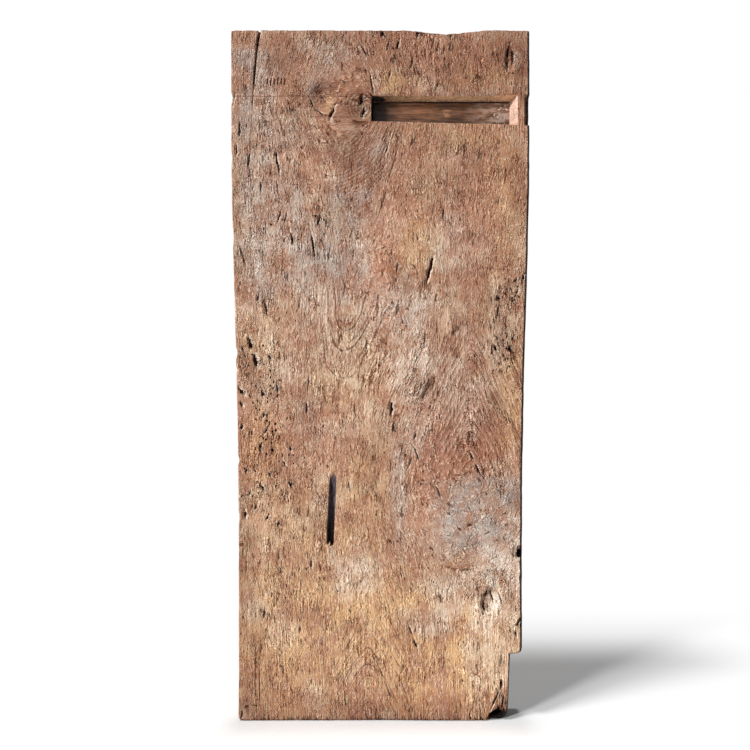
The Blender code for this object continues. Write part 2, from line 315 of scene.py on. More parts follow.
# what the face carries in soft patches: middle, half size (mm) and amount
patches = {
    "pale": [
        (-305, 1290, 50, 120, 0.55), (167, 1170, 45, 90, 0.45), (-120, 985, 80, 60, 0.35), (85, 930, 50, 70, 0.55),
        (85, 720, 40, 80, 0.45), (329, 430, 45, 100, 0.7), (167, 285, 60, 60, 0.55), (246, 170, 50, 130, 0.6),
        (95, 1000, 30, 70, 0.55), (20, 1030, 40, 50, 0.5), (-60, 360, 70, 60, 0.65), (45, 540, 18, 150, 0.3),
        (140, 225, 70, 18, 0.6), (284, 294, 22, 26, 1.4), (-292, 1380, 9, 60, 0.5), (130, 830, 110, 90, 0.4),
        (55, 880, 60, 90, 0.5), (-190, 1090, 60, 60, 0.35), (190, 760, 70, 90, 0.3), (250, 480, 30, 60, 0.5),
        (-40, 1150, 30, 60, 0.3), (280, 330, 90, 130, 0.75), (-240, 900, 60, 90, 0.3), (150, 430, 90, 50, 0.3),
        (-70, 930, 90, 160, 0.35), (290, 150, 60, 100, 0.5), (-150, 1040, 90, 50, 0.35), (-260, 1190, 90, 90, 0.4),
        (337, 1625, 10, 20, 0.7), (-8, 1575, 8, 26, 0.8), (-265, 1450, 80, 90, 0.35), (-247, 214, 40, 45, 0.36),
        (-161, 64, 30, 42, 0.28), (-315, 280, 35, 40, 0.36),
    ],
    "grey": [
        (-170, 1150, 90, 110, 0.7), (-70, 1110, 60, 80, 0.6), (-260, 1250, 80, 130, 0.5), (230, 500, 110, 100, 0.85),
        (325, 560, 35, 60, 0.8), (45, 560, 26, 150, 0.6), (-300, 1130, 60, 120, 0.5), (-300, 1600, 60, 90, 0.5),
        (-120, 1640, 90, 60, 0.35), (-152, 1552, 36, 26, 0.7), (60, 1010, 80, 70, 0.35), (150, 340, 110, 40, 0.4),
        (-30, 1380, 80, 90, 0.35), (-85, 1270, 90, 80, 0.5), (-330, 1400, 30, 90, 0.5), (110, 240, 70, 40, 0.4),
        (280, 420, 40, 60, 0.4), (-300, 1490, 60, 60, 0.45),
    ],
    "rust": [
        (200, 700, 140, 120, 0.75), (-90, 1480, 70, 80, 0.2), (200, 1620, 180, 80, 0.75), (-280, 680, 70, 100, 0.6),
        (10, 1060, 50, 150, 0.45), (60, 1330, 70, 130, 0.5), (160, 620, 60, 60, 0.5), (-330, 760, 30, 120, 0.4),
        (60, 1650, 110, 60, 0.6), (240, 1300, 120, 170, 0.5), (90, 70, 70, 70, 0.4), (-290, 90, 90, 110, 0.45),
        (298, 50, 20, 46, 1.2), (130, 40, 130, 50, 0.6),
    ],
    "gold": [
        (-200, 230, 220, 240, 0.6), (60, 150, 130, 160, 0.75), (240, 170, 110, 190, 1.1), (-240, 210, 60, 80, 0.8),
        (-240, 480, 90, 160, 0.3), (-30, 560, 90, 180, 0.4), (330, 800, 40, 160, 0.5), (310, 1300, 60, 240, 0.3),
        (180, 1440, 160, 40, 0.4), (-280, 930, 60, 90, 0.35), (100, 1180, 60, 100, 0.35), (250, 1580, 110, 30, 0.35),
        (0, 300, 300, 110, 0.7), (-70, 870, 100, 120, 0.45), (-290, 680, 60, 100, 0.4), (-60, 400, 120, 100, 0.5),
        (-128, 1521, 16, 28, 1.3), (22, 1570, 34, 34, 0.7),
    ],
    "torn": [
        (-270, 1400, 90, 130, 0.8), (-170, 1270, 110, 60, 0.5), (-290, 1180, 60, 90, 0.5), (-160, 1170, 30, 60, 0.8),
        (-300, 880, 70, 90, 0.55), (-290, 700, 70, 130, 0.6), (-230, 570, 110, 70, 0.6), (30, 900, 130, 80, 0.5),
        (110, 820, 60, 60, 0.8), (40, 680, 50, 120, 0.6), (150, 1610, 190, 70, 0.6), (310, 930, 40, 80, 0.8),
        (310, 1060, 40, 60, 0.6), (90, 1420, 180, 40, 0.5), (260, 590, 60, 30, 0.6), (-250, 200, 80, 60, 0.5),
        (260, 300, 50, 50, 0.6), (280, 60, 50, 70, 0.7), (-150, 1550, 34, 24, 1.0), (-40, 1510, 30, 40, 0.4),
        (-230, 330, 110, 120, 0.45), (-190, 110, 140, 80, 0.4), (200, 1330, 110, 90, 0.4), (200, 700, 110, 90, 0.4),
    ],
    # the dark patch at (292, 14) blackens the inside of the rotten corner: painted shade
    "dark": [
        (0, 1650, 390, 90, 0.28), (300, 1650, 60, 60, 0.55), (-240, 1640, 60, 60, 0.5), (-155, 1570, 70, 60, 0.45),
        (-80, 1430, 70, 120, 0.42), (-80, 1495, 44, 44, 0.55), (342, 1590, 26, 110, 0.68), (337, 1370, 28, 160, 0.36),
        (-340, 1420, 30, 160, 0.16), (0, 1560, 60, 60, 0.25), (330, 545, 24, 40, 0.5), (-110, 1400, 120, 120, 0.15),
        (240, 1600, 140, 120, 0.42), (-250, 680, 60, 60, 0.08), (305, 930, 30, 60, 0.15), (292, 14, 26, 26, 1.1),
        (298, 46, 16, 36, 0.6), (120, 815, 20, 30, 0.35), (-300, 1300, 60, 90, 0.15), (240, 1380, 140, 110, 0.22),
        (-300, 60, 90, 110, 0.42), (-60, 15, 330, 45, 0.42), (220, 690, 120, 70, 0.18), (-335, 310, 45, 200, 0.4),
        (-325, 170, 50, 70, 0.36), (-320, 25, 80, 45, 0.45), (-154, 1553, 32, 22, 0.8), (-120, 1556, 16, 18, 0.75),
        (-60, 1520, 40, 40, 0.28), (-345, 1560, 30, 120, 0.12), (-330, 20, 70, 50, 0.6), (272, 470, 30, 34, 0.35),
        (205, 440, 60, 20, 0.25),
    ],
    "insects": [
        (-290, 810, 45, 50, 0.55), (-300, 890, 40, 60, 0.26), (-285, 710, 34, 45, 0.55), (-255, 650, 60, 36, 0.4),
        (-290, 580, 60, 70, 0.22), (305, 930, 40, 70, 0.35), (320, 1040, 40, 60, 0.22), (-180, 1215, 110, 40, 0.08),
    ],
}


def patchField(x, z, key, soft=(1.35, 0.35), ragged=0.35):
    amount = np.zeros(np.shape(x))
    wobble = 1 + ragged * lumps(x / 0.03, z / 0.045, 81)
    for px, pz, rx, rz, most in patches[key]:
        far = np.hypot((x - px / 1000) / (rx / 1000), (z - pz / 1000) / (rz / 1000))
        amount = np.maximum(amount, most * ease(*soft, far * wobble))
    return amount


# knots that the grain flows round: middle, radius (mm) and how strongly
knots = [
    (-92, 1500, 110, 0.52), (-44, 1508, 34, 0.95), (-136, 1522, 26, 0.9), (110, 530, 170, 0.12), (320, 1627, 16, 0.8),
]


# the grain runs up the plank and parts round the knots as a stream parts round a post; by the lock edge it leans out
# both ways from a gable at mid-height
gable = {"line": 0.222, "peak": 0.8, "push": 0.036, "sharp": 0.1}


def grainField(x, z):
    u = x + 0.006 * lumps(x / 0.2, z / 0.35, 91)
    lean = (2 * ease(0.07, 0.33, x) - 1) * ease(-0.08, 0.06, x) * ease(0.28, 0.62, z) * ease(1.45, 1.05, z)
    u = u + gable["push"] * lean * np.tanh((z - gable["peak"]) / gable["sharp"])
    v = z + 0.0
    for kx, kz, radius, hold in knots:
        dx, dz, r2 = x - kx / 1000, z - kz / 1000, (radius / 1000) ** 2
        pull = r2 / (dx * dx + dz * dz + 0.45 * r2)
        u = u - dx * pull * hold
        v = v + dz * pull * 0.6 * hold
    return u, v


# growth lines: root of (distance from the heart line squared + rise), so that they close in loops where the rise falls
# with height; near the foot a lift that grows with height closes them in gables; all in metres
heart = {
    "height": (-0.2, -0.05, 0.22, 0.34, 0.6, 0.82, 1.0, 1.25, 1.9),
    "line": (-0.03, -0.03, -0.034, -0.045, -0.075, -0.092, -0.078, -0.052, -0.04),
    "rise": (0.0003, 0.0003, 0.0003, 0.0012, 0.006, 0.008, 0.003, 0.0, 0.0),
    "lift": (-0.09, 0.0, 0.15, 0.17, 0.17, 0.17, 0.17, 0.17, 0.17),
}


def lineField(x, z, closed=1.0):
    steps = np.linspace(-0.2, 1.9, 421)
    soft = np.hanning(19) / np.hanning(19).sum()
    smooth = {}
    for key in ("line", "rise", "lift"):
        rows = np.pad(np.interp(steps, heart["height"], heart[key]), 9, "edge")
        smooth[key] = np.interp(z, steps, np.convolve(rows, soft, "valid"))
    off = grainField(x, z)[0] - smooth["line"]
    most = heart["lift"][-1]
    arch = (smooth["lift"] - most) * closed * ease(0.2, 0.07, abs(off))
    return np.sqrt(off ** 2 + smooth["rise"]) + arch + most


# the same for the dark rings, which lie wider apart near the foot
def ringField(x, z):
    return lineField(x, z) * (0.66 + 0.34 * ease(0.3, 0.5, z))


# where growth rings stand out dark: round and below the big knot, in the loops, the arch and by the lock edge
figure = {  # middles, metres
    "bigKnot": (-0.139, 1.513), "smallKnot": (-0.044, 1.508), "loops": (-0.07, 0.95), "arch": (-0.02, 0.13),
}


def figureField(x, z, frontShare):
    off = {key: (x - at[0], z - at[1]) for key, at in figure.items()}
    dx, dz = off["smallKnot"]
    near = np.hypot(dx, dz * 0.85)
    dx, dz = off["bigKnot"]
    r = np.hypot(dx, dz * 0.9)
    below = ease(0.05, 0.4, dx / r) * ease(0.15, 0.5, -dz / r) * ease(0.06, 0.09, r) * ease(0.3, 0.18, r)
    below = below * ease(0.05, 0.062, near)
    knot = np.maximum(0.55 * below, 0.7 * ease(0.05, 0.03, near))
    r = 1.6 * np.where(near < 0.05, near, r)
    dx, dz = off["loops"]
    loops = 0.76 * ease(0.16, 0.08, np.hypot(dx * 1.4, dz * 0.8))
    dx, dz = off["arch"]
    arch = 0.5 * ease(0.17, 0.08, np.hypot(dx, dz * 0.9))
    lock = 0.6 * ease(0.1, 0.17, x) * ease(0.54, 0.64, z) * ease(1.0, 0.9, z)
    way = np.where(knot > 0.001, r, ringField(x, z))
    way = np.where(lock > 0.001, np.hypot(x - gable["line"], 0.014) + 0.5 * z, way)
    return way, np.maximum(np.maximum(knot, loops), np.maximum(arch, lock)) * frontShare


# how fast the growth lines follow one another across the face
def lineSlope(x, z):
    step = 0.003
    ways = ((step, 0), (-step, 0), (0, step), (0, -step))
    right, left, up, down = (figureField(x + a, z + b, 1.0)[0] for a, b in ways)
    return np.clip(np.hypot(right - left, up - down) / (2 * step), 0.08, 1.6)


# where the fibre lies straight and combed, low down and round the slot; under 0 where it swirls
def combField(x, z):
    low = ease(0.45, 0.2, z + 0.05 * lumps(x / 0.1, z / 0.2, 86))
    slotSide = ease(0.1, 0.03, abs(z - 1.505)) * ease(-0.06, 0.02, x)
    far = np.hypot((x - 0.235) / 0.135, (z - 0.455) / 0.165) + 0.2 * lumps(x / 0.05, z / 0.05, 88)
    swirl = ease(1.15, 0.55, far)
    return np.maximum(low, 0.9 * slotSide) * (0.75 + 0.35 * lumps(x / 0.06, z / 0.12, 87)) + 0.15 - 2.6 * swirl


# how thick the small nicks lie
def nickField(x, z):
    return (0.025 + 0.05 * lumps(x / 0.11, z / 0.15, 85)) * ease(0.09, 0.15, np.hypot(x + 0.09, z - 1.53))


# drying slits and torn places: one end, other end, width (mm) and darkness
slits = [
    (-297, 1700, -305, 1651, 3.6, 1), (-305, 1651, -312, 1550, 3.2, 1), (-312, 1550, -315, 1496, 2.6, 0.8),
    (-315, 1496, -321, 1400, 2.2, 0.35), (263, 318, 254, 298, 8.0, 1), (254, 298, 255, 270, 8.0, 1),
    (270, 319, 278, 294, 4.2, 1), (290, 316, 298, 292, 3.6, 0.8), (317, 1658, 311, 1630, 9.0, 0.9),
    (312, 1630, 312, 1603, 8.0, 0.95), (326, 1648, 325, 1612, 5.0, 0.8), (-358, 1534, -367, 1500, 4.7, 0.9),
    (-346, 1473, -346, 1436, 5.1, 0.8), (-354, 1417, -354, 1392, 5.9, 0.9), (-321, 1392, -324, 1362, 4.7, 0.9),
    (-294, 1323, -293, 1303, 4.2, 0.9), (-256, 1395, -248, 1348, 4.7, 0.95), (-172, 1528, -163, 1507, 3.6, 0.9),
    (-161, 1503, -146, 1496, 3.6, 0.9), (-114, 1506, -122, 1484, 7.0, 1), (-45, 1531, -50, 1515, 8.0, 1),
    (-40, 1506, -43, 1489, 8.6, 1), (-48, 1663, -35, 1638, 3.2, 0.7), (-27, 1596, -17, 1548, 4.4, 1),
    (-36, 1603, -31, 1582, 3.4, 0.8), (-169, 1195, -161, 1141, 5.6, 0.95), (-217, 1192, -215, 1175, 5.1, 0.85),
    (157, 1257, 154, 1237, 3.7, 0.7), (130, 1140, 114, 1078, 7.5, 1), (-176, 848, -178, 808, 3.2, 0.7),
    (-322, 938, -318, 912, 10.0, 1), (-311, 903, -304, 872, 13.0, 1), (-254, 824, -252, 810, 5.4, 0.9),
    (-181, 780, -180, 758, 5.0, 0.8), (34, 739, 31, 712, 4.7, 0.75), (87, 707, 83, 690, 4.7, 0.8),
    (-77, 586, -77, 572, 5.1, 0.8), (-76, 204, -77, 165, 3.5, 0.6), (222, 658, 231, 633, 5.1, 0.85),
    (231, 636, 245, 609, 5.1, 0.9), (71, 232, 80, 207, 4.7, 0.8), (80, 207, 90, 180, 4.7, 0.85),
    (347, 254, 332, 228, 5.6, 1), (332, 228, 334, 205, 5.6, 1), (-87, 74, -85, 37, 3.5, 0.6),
    (-252, 1225, -245, 1247, 5.1, 0.85), (-235, 1227, -230, 1247, 4.2, 0.7), (-153, 1220, -148, 1242, 5.1, 0.85),
    (-135, 1212, -132, 1234, 4.2, 0.7), (27, 783, 27, 751, 8.4, 1), (-169, 392, -169, 379, 6.1, 0.8),
    (-250, 409, -250, 397, 5.6, 0.7), (-198, 232, -198, 219, 5.1, 0.7), (-284, 269, -284, 256, 5.6, 0.7),
    (41, 1399, 19, 1326, 3.5, 0.55), (14, 1301, -8, 1232, 3.5, 0.5), (19, 1414, 13, 1395, 4.2, 0.8),
    (-362, 1202, -359, 1163, 4.7, 0.8), (-346, 1168, -331, 1121, 4.0, 0.7), (-283, 1027, -279, 1003, 4.7, 0.9),
    (-299, 1047, -304, 1032, 6.1, 0.8), (45, 1025, 41, 1003, 6.1, 0.55), (42, 1121, 41, 1106, 4.0, 0.7),
    (139, 1050, 135, 1030, 4.0, 0.7), (176, 951, 194, 973, 11.7, 0.5), (290, 1020, 287, 990, 4.7, 0.75),
    (83, 673, 93, 646, 5.1, 0.8), (77, 648, 70, 626, 6.1, 0.7), (137, 577, 149, 549, 4.0, 0.7),
    (159, 379, 191, 371, 3.7, 0.5), (191, 371, 223, 372, 3.7, 0.5), (142, 315, 152, 288, 9.4, 0.4),
    (-3, 133, 11, 99, 3.7, 0.55), (11, 99, 26, 57, 3.7, 0.55), (5, 1700, 5, 1683, 6.1, 1),
    (93, 1700, 91, 1683, 5.6, 0.9), (174, 1693, 173, 1680, 5.6, 0.9), (35, 1636, 30, 1616, 10.8, 0.55),
    (46, 1670, 41, 1651, 6.1, 0.85), (21, 1666, 16, 1648, 5.1, 0.65), (80, 1626, 75, 1606, 4.7, 0.65),
    (132, 1673, 127, 1653, 4.9, 0.6), (144, 1666, 138, 1646, 4.9, 0.65), (159, 1658, 154, 1638, 4.9, 0.65),
    (174, 1668, 169, 1648, 4.7, 0.6), (26, 1599, 21, 1579, 4.9, 0.6), (94, 1582, 90, 1562, 4.7, 0.5),
    (211, 1611, 204, 1592, 4.7, 0.45), (142, 1569, 136, 1550, 4.7, 0.45), (80, 1431, 75, 1412, 4.7, 0.6),
    (295, 586, 287, 574, 3.7, 0.6), (-139, 1207, -136, 1192, 4.2, 0.6), (290, 581, 297, 574, 3.7, 0.5),
    (345, 397, 346, 379, 5.1, 0.9), (298, 163, 295, 138, 4.7, 0.6), (-124, 1158, -127, 1136, 3.7, 0.5),
    (-63, 779, -65, 759, 4.0, 0.5), (-33, 936, -35, 912, 3.5, 0.5), (159, 1429, 157, 1409, 3.5, 0.5),
    (245, 1404, 242, 1380, 3.7, 0.5), (309, 1355, 307, 1326, 3.7, 0.5), (221, 1207, 218, 1180, 3.5, 0.5),
    (-198, 1035, -201, 1013, 3.7, 0.5), (-87, 1072, -90, 1045, 3.5, 0.5), (-329, 394, -330, 365, 4.0, 0.6),
    (-292, 197, -294, 168, 3.7, 0.5), (-238, 136, -239, 106, 3.5, 0.5), (-154, 296, -156, 269, 3.5, 0.45),
    (157, 160, 154, 128, 3.5, 0.45), (240, 197, 238, 168, 3.5, 0.45), (299, 96, 296, 83, 6.0, 1),
    (292, 75, 271, 27, 4.4, 0.9), (303, 64, 299, 30, 4.0, 0.8), (221, 12, 222, 2, 5.0, 1), (232, 10, 233, 2, 4.0, 1),
    (248, 11, 249, 2, 4.0, 0.8), (-297, 143, -296, 46, 2.4, 0.6), (-307, 190, -306, 60, 2.0, 0.45),
    (-341, 8, -338, 30, 4.0, 0.85), (-338, 30, -321, 40, 3.6, 0.8), (-321, 40, -299, 37, 3.4, 0.7),
]
bores = [  # peg hole, then insect holes: middle and width (mm)
    (342.5, 412, 14.5), (351, 1089, 6.1), (332, 1082, 6.1), (337, 1055, 7.0), (289, 1037, 6.6), (324, 1035, 7.0),
    (317, 1013, 5.1), (285, 942, 7.0), (282, 918, 10.3), (313, 946, 6.1), (317, 917, 10.8), (325, 940, 5.6),
    (307, 887, 6.6), (312, 870, 7.0), (293, 878, 6.1), (-341, 808, 12.0), (-342, 780, 9.0), (-289, 803, 6.5),
    (-287, 751, 7.0), (-340, 722, 7.0), (-282, 712, 7.0), (-294, 675, 6.6), (-220, 668, 6.5), (-236, 634, 6.0),
    (-289, 572, 9.4), (-220, 581, 6.1), (-332, 508, 8.9), (-306, 525, 5.6), (-277, 500, 6.1), (-321, 559, 5.6),
    (-250, 485, 5.6), (-329, 616, 5.6), (-272, 606, 5.1), (-272, 893, 6.0), (-338, 914, 6.0),
]


# each face point gets the nearest slit or hole as ellipse coordinates (across, along), and how dark it is;
# cells that would mix two of them get none
def flawField(x, z):
    best, owner = np.full(x.shape, 0.014), np.full(x.shape, -1)
    rows = list(slits)
    for number, (bx, bz, w) in enumerate(bores):  # holes are taller than wide and lean one way or the other
        lean = 0.35 * w * math.sin(7.0 * number)
        slim, dark = (0.66, 0.9) if number else (0.95, 1.0)
        rows.append((bx + lean, bz + 0.6 * w, bx - lean, bz - 0.6 * w, w * slim, dark))
    p, q, dark = np.full(x.shape, 6.0), np.full(x.shape, 6.0), np.zeros(x.shape)
    for number, row in enumerate(rows):
        x1, z1, x2, z2, width = (v / 1000 for v in row[:5])
        width *= 0.78 if number < len(slits) else 1.0
        length = math.hypot(x2 - x1, z2 - z1) / 2
        tx, tz = (x2 - x1) / length / 2, (z2 - z1) / length / 2
        dx, dz = x - (x1 + x2) / 2, z - (z1 + z2) / 2
        t = dx * tx + dz * tz
        s = (dx * tz - dz * tx) * (1 if tz > 0 else -1)  # grows to the right
        miss = np.hypot(s, t - np.clip(t, -length, length)) - width / 2
        near = miss < best
        best, owner = np.where(near, miss, best), np.where(near, number, owner)
        p, q = np.where(near, s / (width / 2), p), np.where(near, t / (length + width / 4), q)
        dark = np.where(near, row[5], dark)
    mixed = np.zeros(x.shape, bool)
    corners = [np.s_[a:x.shape[0] - 1 + a, b:x.shape[1] - 1 + b] for a in (0, 1) for b in (0, 1)]
    for corner in corners:
        differs = owner[:-1, :-1] != owner[corner]
        for touched in corners:
            mixed[touched] |= differs
    dark = np.where(mixed, 0.0, dark)
    return np.stack([np.clip(p, -6, 6), np.clip(q, -6, 6), dark, np.zeros(x.shape)], -1)


def buildPlank():
    work = Patchwork()
    r, thick = plank["arris"], plank["thickness"]
    front = -thick / 2
    reach = plank["topHalf"] - r
    left, right = plank["slotLeft"], plank["slotRight"]
    sill, ceiling = plank["sill"], plank["ceiling"]
    xLines = gridLines([
        (-reach, -0.325, 0.003), (-0.325, -0.285, 0.0018), (-0.285, -0.137, 0.0032), (-0.137, -0.1, 0.0016),
        (-0.1, left, 0.0032), (left, right, 0.0033), (right, reach, 0.0019),
    ])
    zLines = gridLines([
        (r, 0.03, 0.0032), (0.03, 0.162, 0.0068), (0.162, 0.174, 0.0014), (0.174, 0.395, 0.0072),
        (0.395, 0.46, 0.004), (0.46, 0.62, 0.0062), (0.62, 1.44, 0.0076), (1.44, sill, 0.004),
        (sill, ceiling, 0.0041), (ceiling, 1.56, 0.0041), (1.56, 1.68, 0.0062), (1.68, plank["height"] - r, 0.003),
    ])
    nx, nz = len(xLines), len(zLines)
    iL, iR = int(np.argmin(abs(xLines - left))), int(np.argmin(abs(xLines - right)))
    jB, jT = int(np.argmin(abs(zLines - sill))), int(np.argmin(abs(zLines - ceiling)))
    gx, gz = np.meshgrid(xLines, zLines, indexing="ij")

    # the even grid is squeezed into the outline
    x = gx * (halfWidth(gz) - r) / reach
    x = x - ease(0.22, reach, gx) * (lockCutBack(gz) + edgeRag(gz, 1))
    x = x + ease(0.3, reach, -gx) * (rounding(plank["heel"], plank["heel"] - gz) + edgeRag(gz, 0))
    z = gz + ease(1.6, plank["height"] - r, gz) * (topEdge(x) - plank["height"])
    run = np.clip((gx - left) / (right - left), 0, 1) * ease(reach, right, gx)
    tent = np.clip(1 - np.maximum((sill - gz) / 0.036, (gz - sill) / 0.03), 0, 1)
    low = ease(left - 0.006, left + 0.004, gx) * ease(reach, right, gx)
    z = z - (plank["sillWear"] * run + 0.0014 * low) * tent
    wave = 0.0012 * lumps(gx / 0.045, 2.2, 41) * ease(left - 0.02, left, gx) * ease(right + 0.01, right, gx)
    corner = 0.0022 * ease(right - 0.03, right, gx) * ease(right + 0.006, right, gx)
    z = z + (wave + corner) * np.clip(1 - abs(gz - ceiling) / 0.018, 0, 1)

    # the face, its slot left open; near the edges its hollows stay shallow
    carved = np.maximum(faceDepth(x, z), scoopDepth(x, z))
    edgeOfSlot = np.zeros_like(carved)
    edgeOfSlot[iL:iR + 1, [jB, jT]] = 1
    edgeOfSlot[[iL, iR], jB:jT + 1] = 1
    depth = carved + 0.0009 * edgeOfSlot
    rim = np.ones_like(depth, bool)
    rim[1:-1, 1:-1] = False
    pegSide = rim & (abs(z - hollows["pegHole"][0][1]) < 0.03)
    depth = np.where(pegSide, np.minimum(depth, 0.002), np.where(rim, np.minimum(depth, 0.009), depth))
    face = work.addPoints(x, front + depth, z)
    hole = np.zeros((nx - 1, nz - 1), bool)
    hole[iL:iR, jB:jT] = True
    work.addSheet(face, hole)

    # edges: the outline carried round the arris, along the thickness and round the back arris
    def ring(a, i0, i1, j0, j1):
        return np.concatenate([a[i0:i1, j0], a[i1, j0:j1], a[i1:i0:-1, j1], a[i0, j1:j0:-1]])

    bx, bz, bd = (ring(a, 0, nx - 1, 0, nz - 1) for a in (x, z, depth))
    tx, tz = np.roll(bx, -1) - np.roll(bx, 1), np.roll(bz, -1) - np.roll(bz, 1)
    size = np.hypot(tx, tz)
    outX, outZ = tz / size, -tx / size
    cut = np.array([30.0, 60.0, 90.0]) * math.pi / 180
    offsets = list(r * np.sin(cut)) + [r] * 6 + [r * 0.75, r * 0.3]
    depths = list(r * (1 - np.cos(cut)))
    depths += [0.014, 0.025, plank["mouthNear"], 0.043, plank["mouthFar"], 0.06, 0.064, 0.0655]
    way = np.cumsum(size) / 2
    onFoot = np.clip(-outZ, 0, 1) ** 4
    loops = [ring(face, 0, nx - 1, 0, nz - 1)]
    for k, (offset, deep) in enumerate(zip(offsets, depths)):
        worn = 0.0005 * (1 + lumps(way / 0.05, deep / 0.02, 51)) + 0.00025 * (1 + lumps(way / 0.012, deep / 0.01, 52))
        offset = offset - worn * min(1.0, k / 3) * (1 - 0.75 * onFoot)
        ex, ez = bx + outX * offset, bz + outZ * offset
        sunk = np.maximum(scoopDepth(ex, ez) * (outX > 0.5), bd)
        d = deep + sunk * max(0.0, 1 - deep / 0.03)
        loops.append(work.addPoints(ex, front + d, ez))
    mouthRows = range(depths.index(plank["mouthNear"]) + 1, depths.index(plank["mouthFar"]) + 1)
    r0 = nx - 1  # where the lock edge starts in a loop
    for k, (inner, outer) in enumerate(zip(loops, loops[1:])):
        work.addBand(inner, outer, slice(r0 + jB, r0 + jT) if k in mouthRows else slice(0, 0))

    # back face, on every third line
    sx, sz = x[::3, ::3], z[::3, ::3]
    backDepth = 0.0009 * (1 + lumps(sx / 0.16, sz / 0.3, 61)) + 0.0006 * (1 + lumps(sx / 0.05, sz / 0.11, 62))
    back = work.addPoints(sx, -front - backDepth, sz)
    work.addSheet(back)
    work.addCoarseBand(loops[-1], ring(back, 0, back.shape[0] - 1, 0, back.shape[1] - 1))

    # slot: its outline carried inwards to the pocket, the right end splayed
    fx, fz, fd = (ring(a, iL, iR, jB, jT) for a in (x, z, depth))
    a, b = iR - iL, jT - jB
    goA, goB = np.arange(a) / a, np.arange(b) / b
    stop = plank["slotStop"]
    wallX = np.concatenate([left + (stop - left) * goA, np.full(b, stop), stop + (left - stop) * goA, np.full(b, left)])
    wallZ = np.concatenate([
        np.full(a, sill), sill + (ceiling - sill) * goB, np.full(a, ceiling), ceiling + (sill - ceiling) * goB])
    slotDepths = [0.003, 0.008, 0.016, 0.026, plank["mouthNear"], 0.043, plank["mouthFar"], plank["pocketDepth"]]
    slotLoops = [ring(face, iL, iR, jB, jT)]
    onTop = np.concatenate([np.zeros(a + b), np.ones(a), np.zeros(b)])
    for deep in slotDepths:
        t = min(1.0, deep / plank["boltDepth"])
        hacked = 0.00035 * (1 + lumps(np.arange(len(fx)) / 4.0, deep / 0.012, 71)) * onTop
        d = np.maximum(deep, fd + 0.001)
        slotLoops.append(work.addPoints(fx + (wallX - fx) * t, front + d, fz + (wallZ - fz) * t + hacked))
    mouthCells = range(slotDepths.index(plank["mouthNear"]) + 1, slotDepths.index(plank["mouthFar"]) + 1)
    for k, (inner, outer) in enumerate(zip(slotLoops, slotLoops[1:])):
        work.addBand(inner, outer, slice(a, a + b) if k in mouthCells else slice(0, 0))
    floor = np.full((a + 1, b + 1), -1)
    last = slotLoops[-1]
    floor[:a, 0], floor[a, :b] = last[:a], last[a:a + b]
    floor[a:0:-1, b], floor[0, b:0:-1] = last[a + b:2 * a + b], last[2 * a + b:]
    px, pz = np.meshgrid(np.linspace(left, stop, a + 1), np.linspace(sill, ceiling, b + 1), indexing="ij")
    floor[1:-1, 1:-1] = work.addPoints(px[1:-1, 1:-1], front + plank["pocketDepth"], pz[1:-1, 1:-1])
    work.addSheet(floor)

    # the way out behind the bridge, from the slot's end to the lock edge
    def mouthLoop(rows, first):
        cells = np.stack([row[first:first + b + 1] for row in rows])
        return np.concatenate([cells[0, :-1], cells[:-1, -1], cells[-1, :0:-1], cells[:0:-1, 0]])

    inside = mouthLoop(slotLoops[mouthCells.start:mouthCells.stop + 1], a)
    outside = mouthLoop(loops[mouthRows.start:mouthRows.stop + 1], r0 + jB)
    points = np.concatenate(work.points)
    middle = (points[inside] + points[outside]) / 2
    between = work.addPoints(*middle.T)
    work.addBand(inside, between)
    work.addBand(between, outside)

    # what the material needs to know at each point
    points = np.concatenate(work.points)
    px, py, pz = points.T
    total = len(points)
    frontShare = ease(0.5 * thick, 0.0, py - front)
    charred, recessShade, freshCutAndPaintedLight, endGrain, deepShade = np.zeros((5, total))
    inFace = face.ravel()
    charred[inFace] = grooveDepth(x, z)[1].ravel()
    # face hollows and the scoop by the bolt's mouth darker by their depth, the pale knot gouge left out: painted shade
    fresh = ease(1.2, 0.7, np.hypot((x - 0.284) / 0.02, (z - 0.294) / 0.026))
    recessShade[inFace] = (ease(0.004, 0.012, carved) * (1 - fresh)).ravel()
    # a black band on the face along the lock edge, and the rotten corner black inside: painted shade
    blackShade = 0.9 * ease(-0.003, -0.0002, x - x[-1:, :]) * ease(0.1, 0.2, z)
    rotten = rotShare(px, pz) * ease(0.024, 0.012, py - front - 0.009)
    deepShade[inFace] = np.maximum(blackShade, rotShare(x, z)).ravel()
    # the slot's walls dark all through: painted shade
    recessShade[np.concatenate(slotLoops[1:])] = 1
    under = np.concatenate([loop[a + b:2 * a + b] for loop in slotLoops[1:6]])  # the slot's ceiling
    # the slot's ceiling brighter towards its right end: painted light
    freshCutAndPaintedLight[under] = 0.9 * ease(0.0, 0.16, px[under])
    # the slot's ceiling black at its left end: painted shade
    deepShade[under] = ease(-0.005, -0.03, px[under] - 0.03 * ease(0.0, 0.02, py[under] - front))
    # the slot's ceiling darker towards its left end: painted shade
    recessShade[under] = ease(0.06, -0.01, px[under])
    # the pocket's floor and the way out behind the bridge dark too: painted shade
    recessShade[floor.ravel()] = 1
    recessShade[between] = 1
    for loop in slotLoops[1:]:
        freshCutAndPaintedLight[loop[a + 1:a + b]] = 1
        freshCutAndPaintedLight[loop[[a, a + b]]] = 0.6
    for loop in loops[1:]:
        endGrain[loop] = ease(0.6, 0.95, abs(outZ))
        deepShade[loop] = np.maximum(ease(0.5, 0.9, outX), rotten[loop])  # painted shade: the lock edge, which faces away from the light, and the inside of the rotten corner
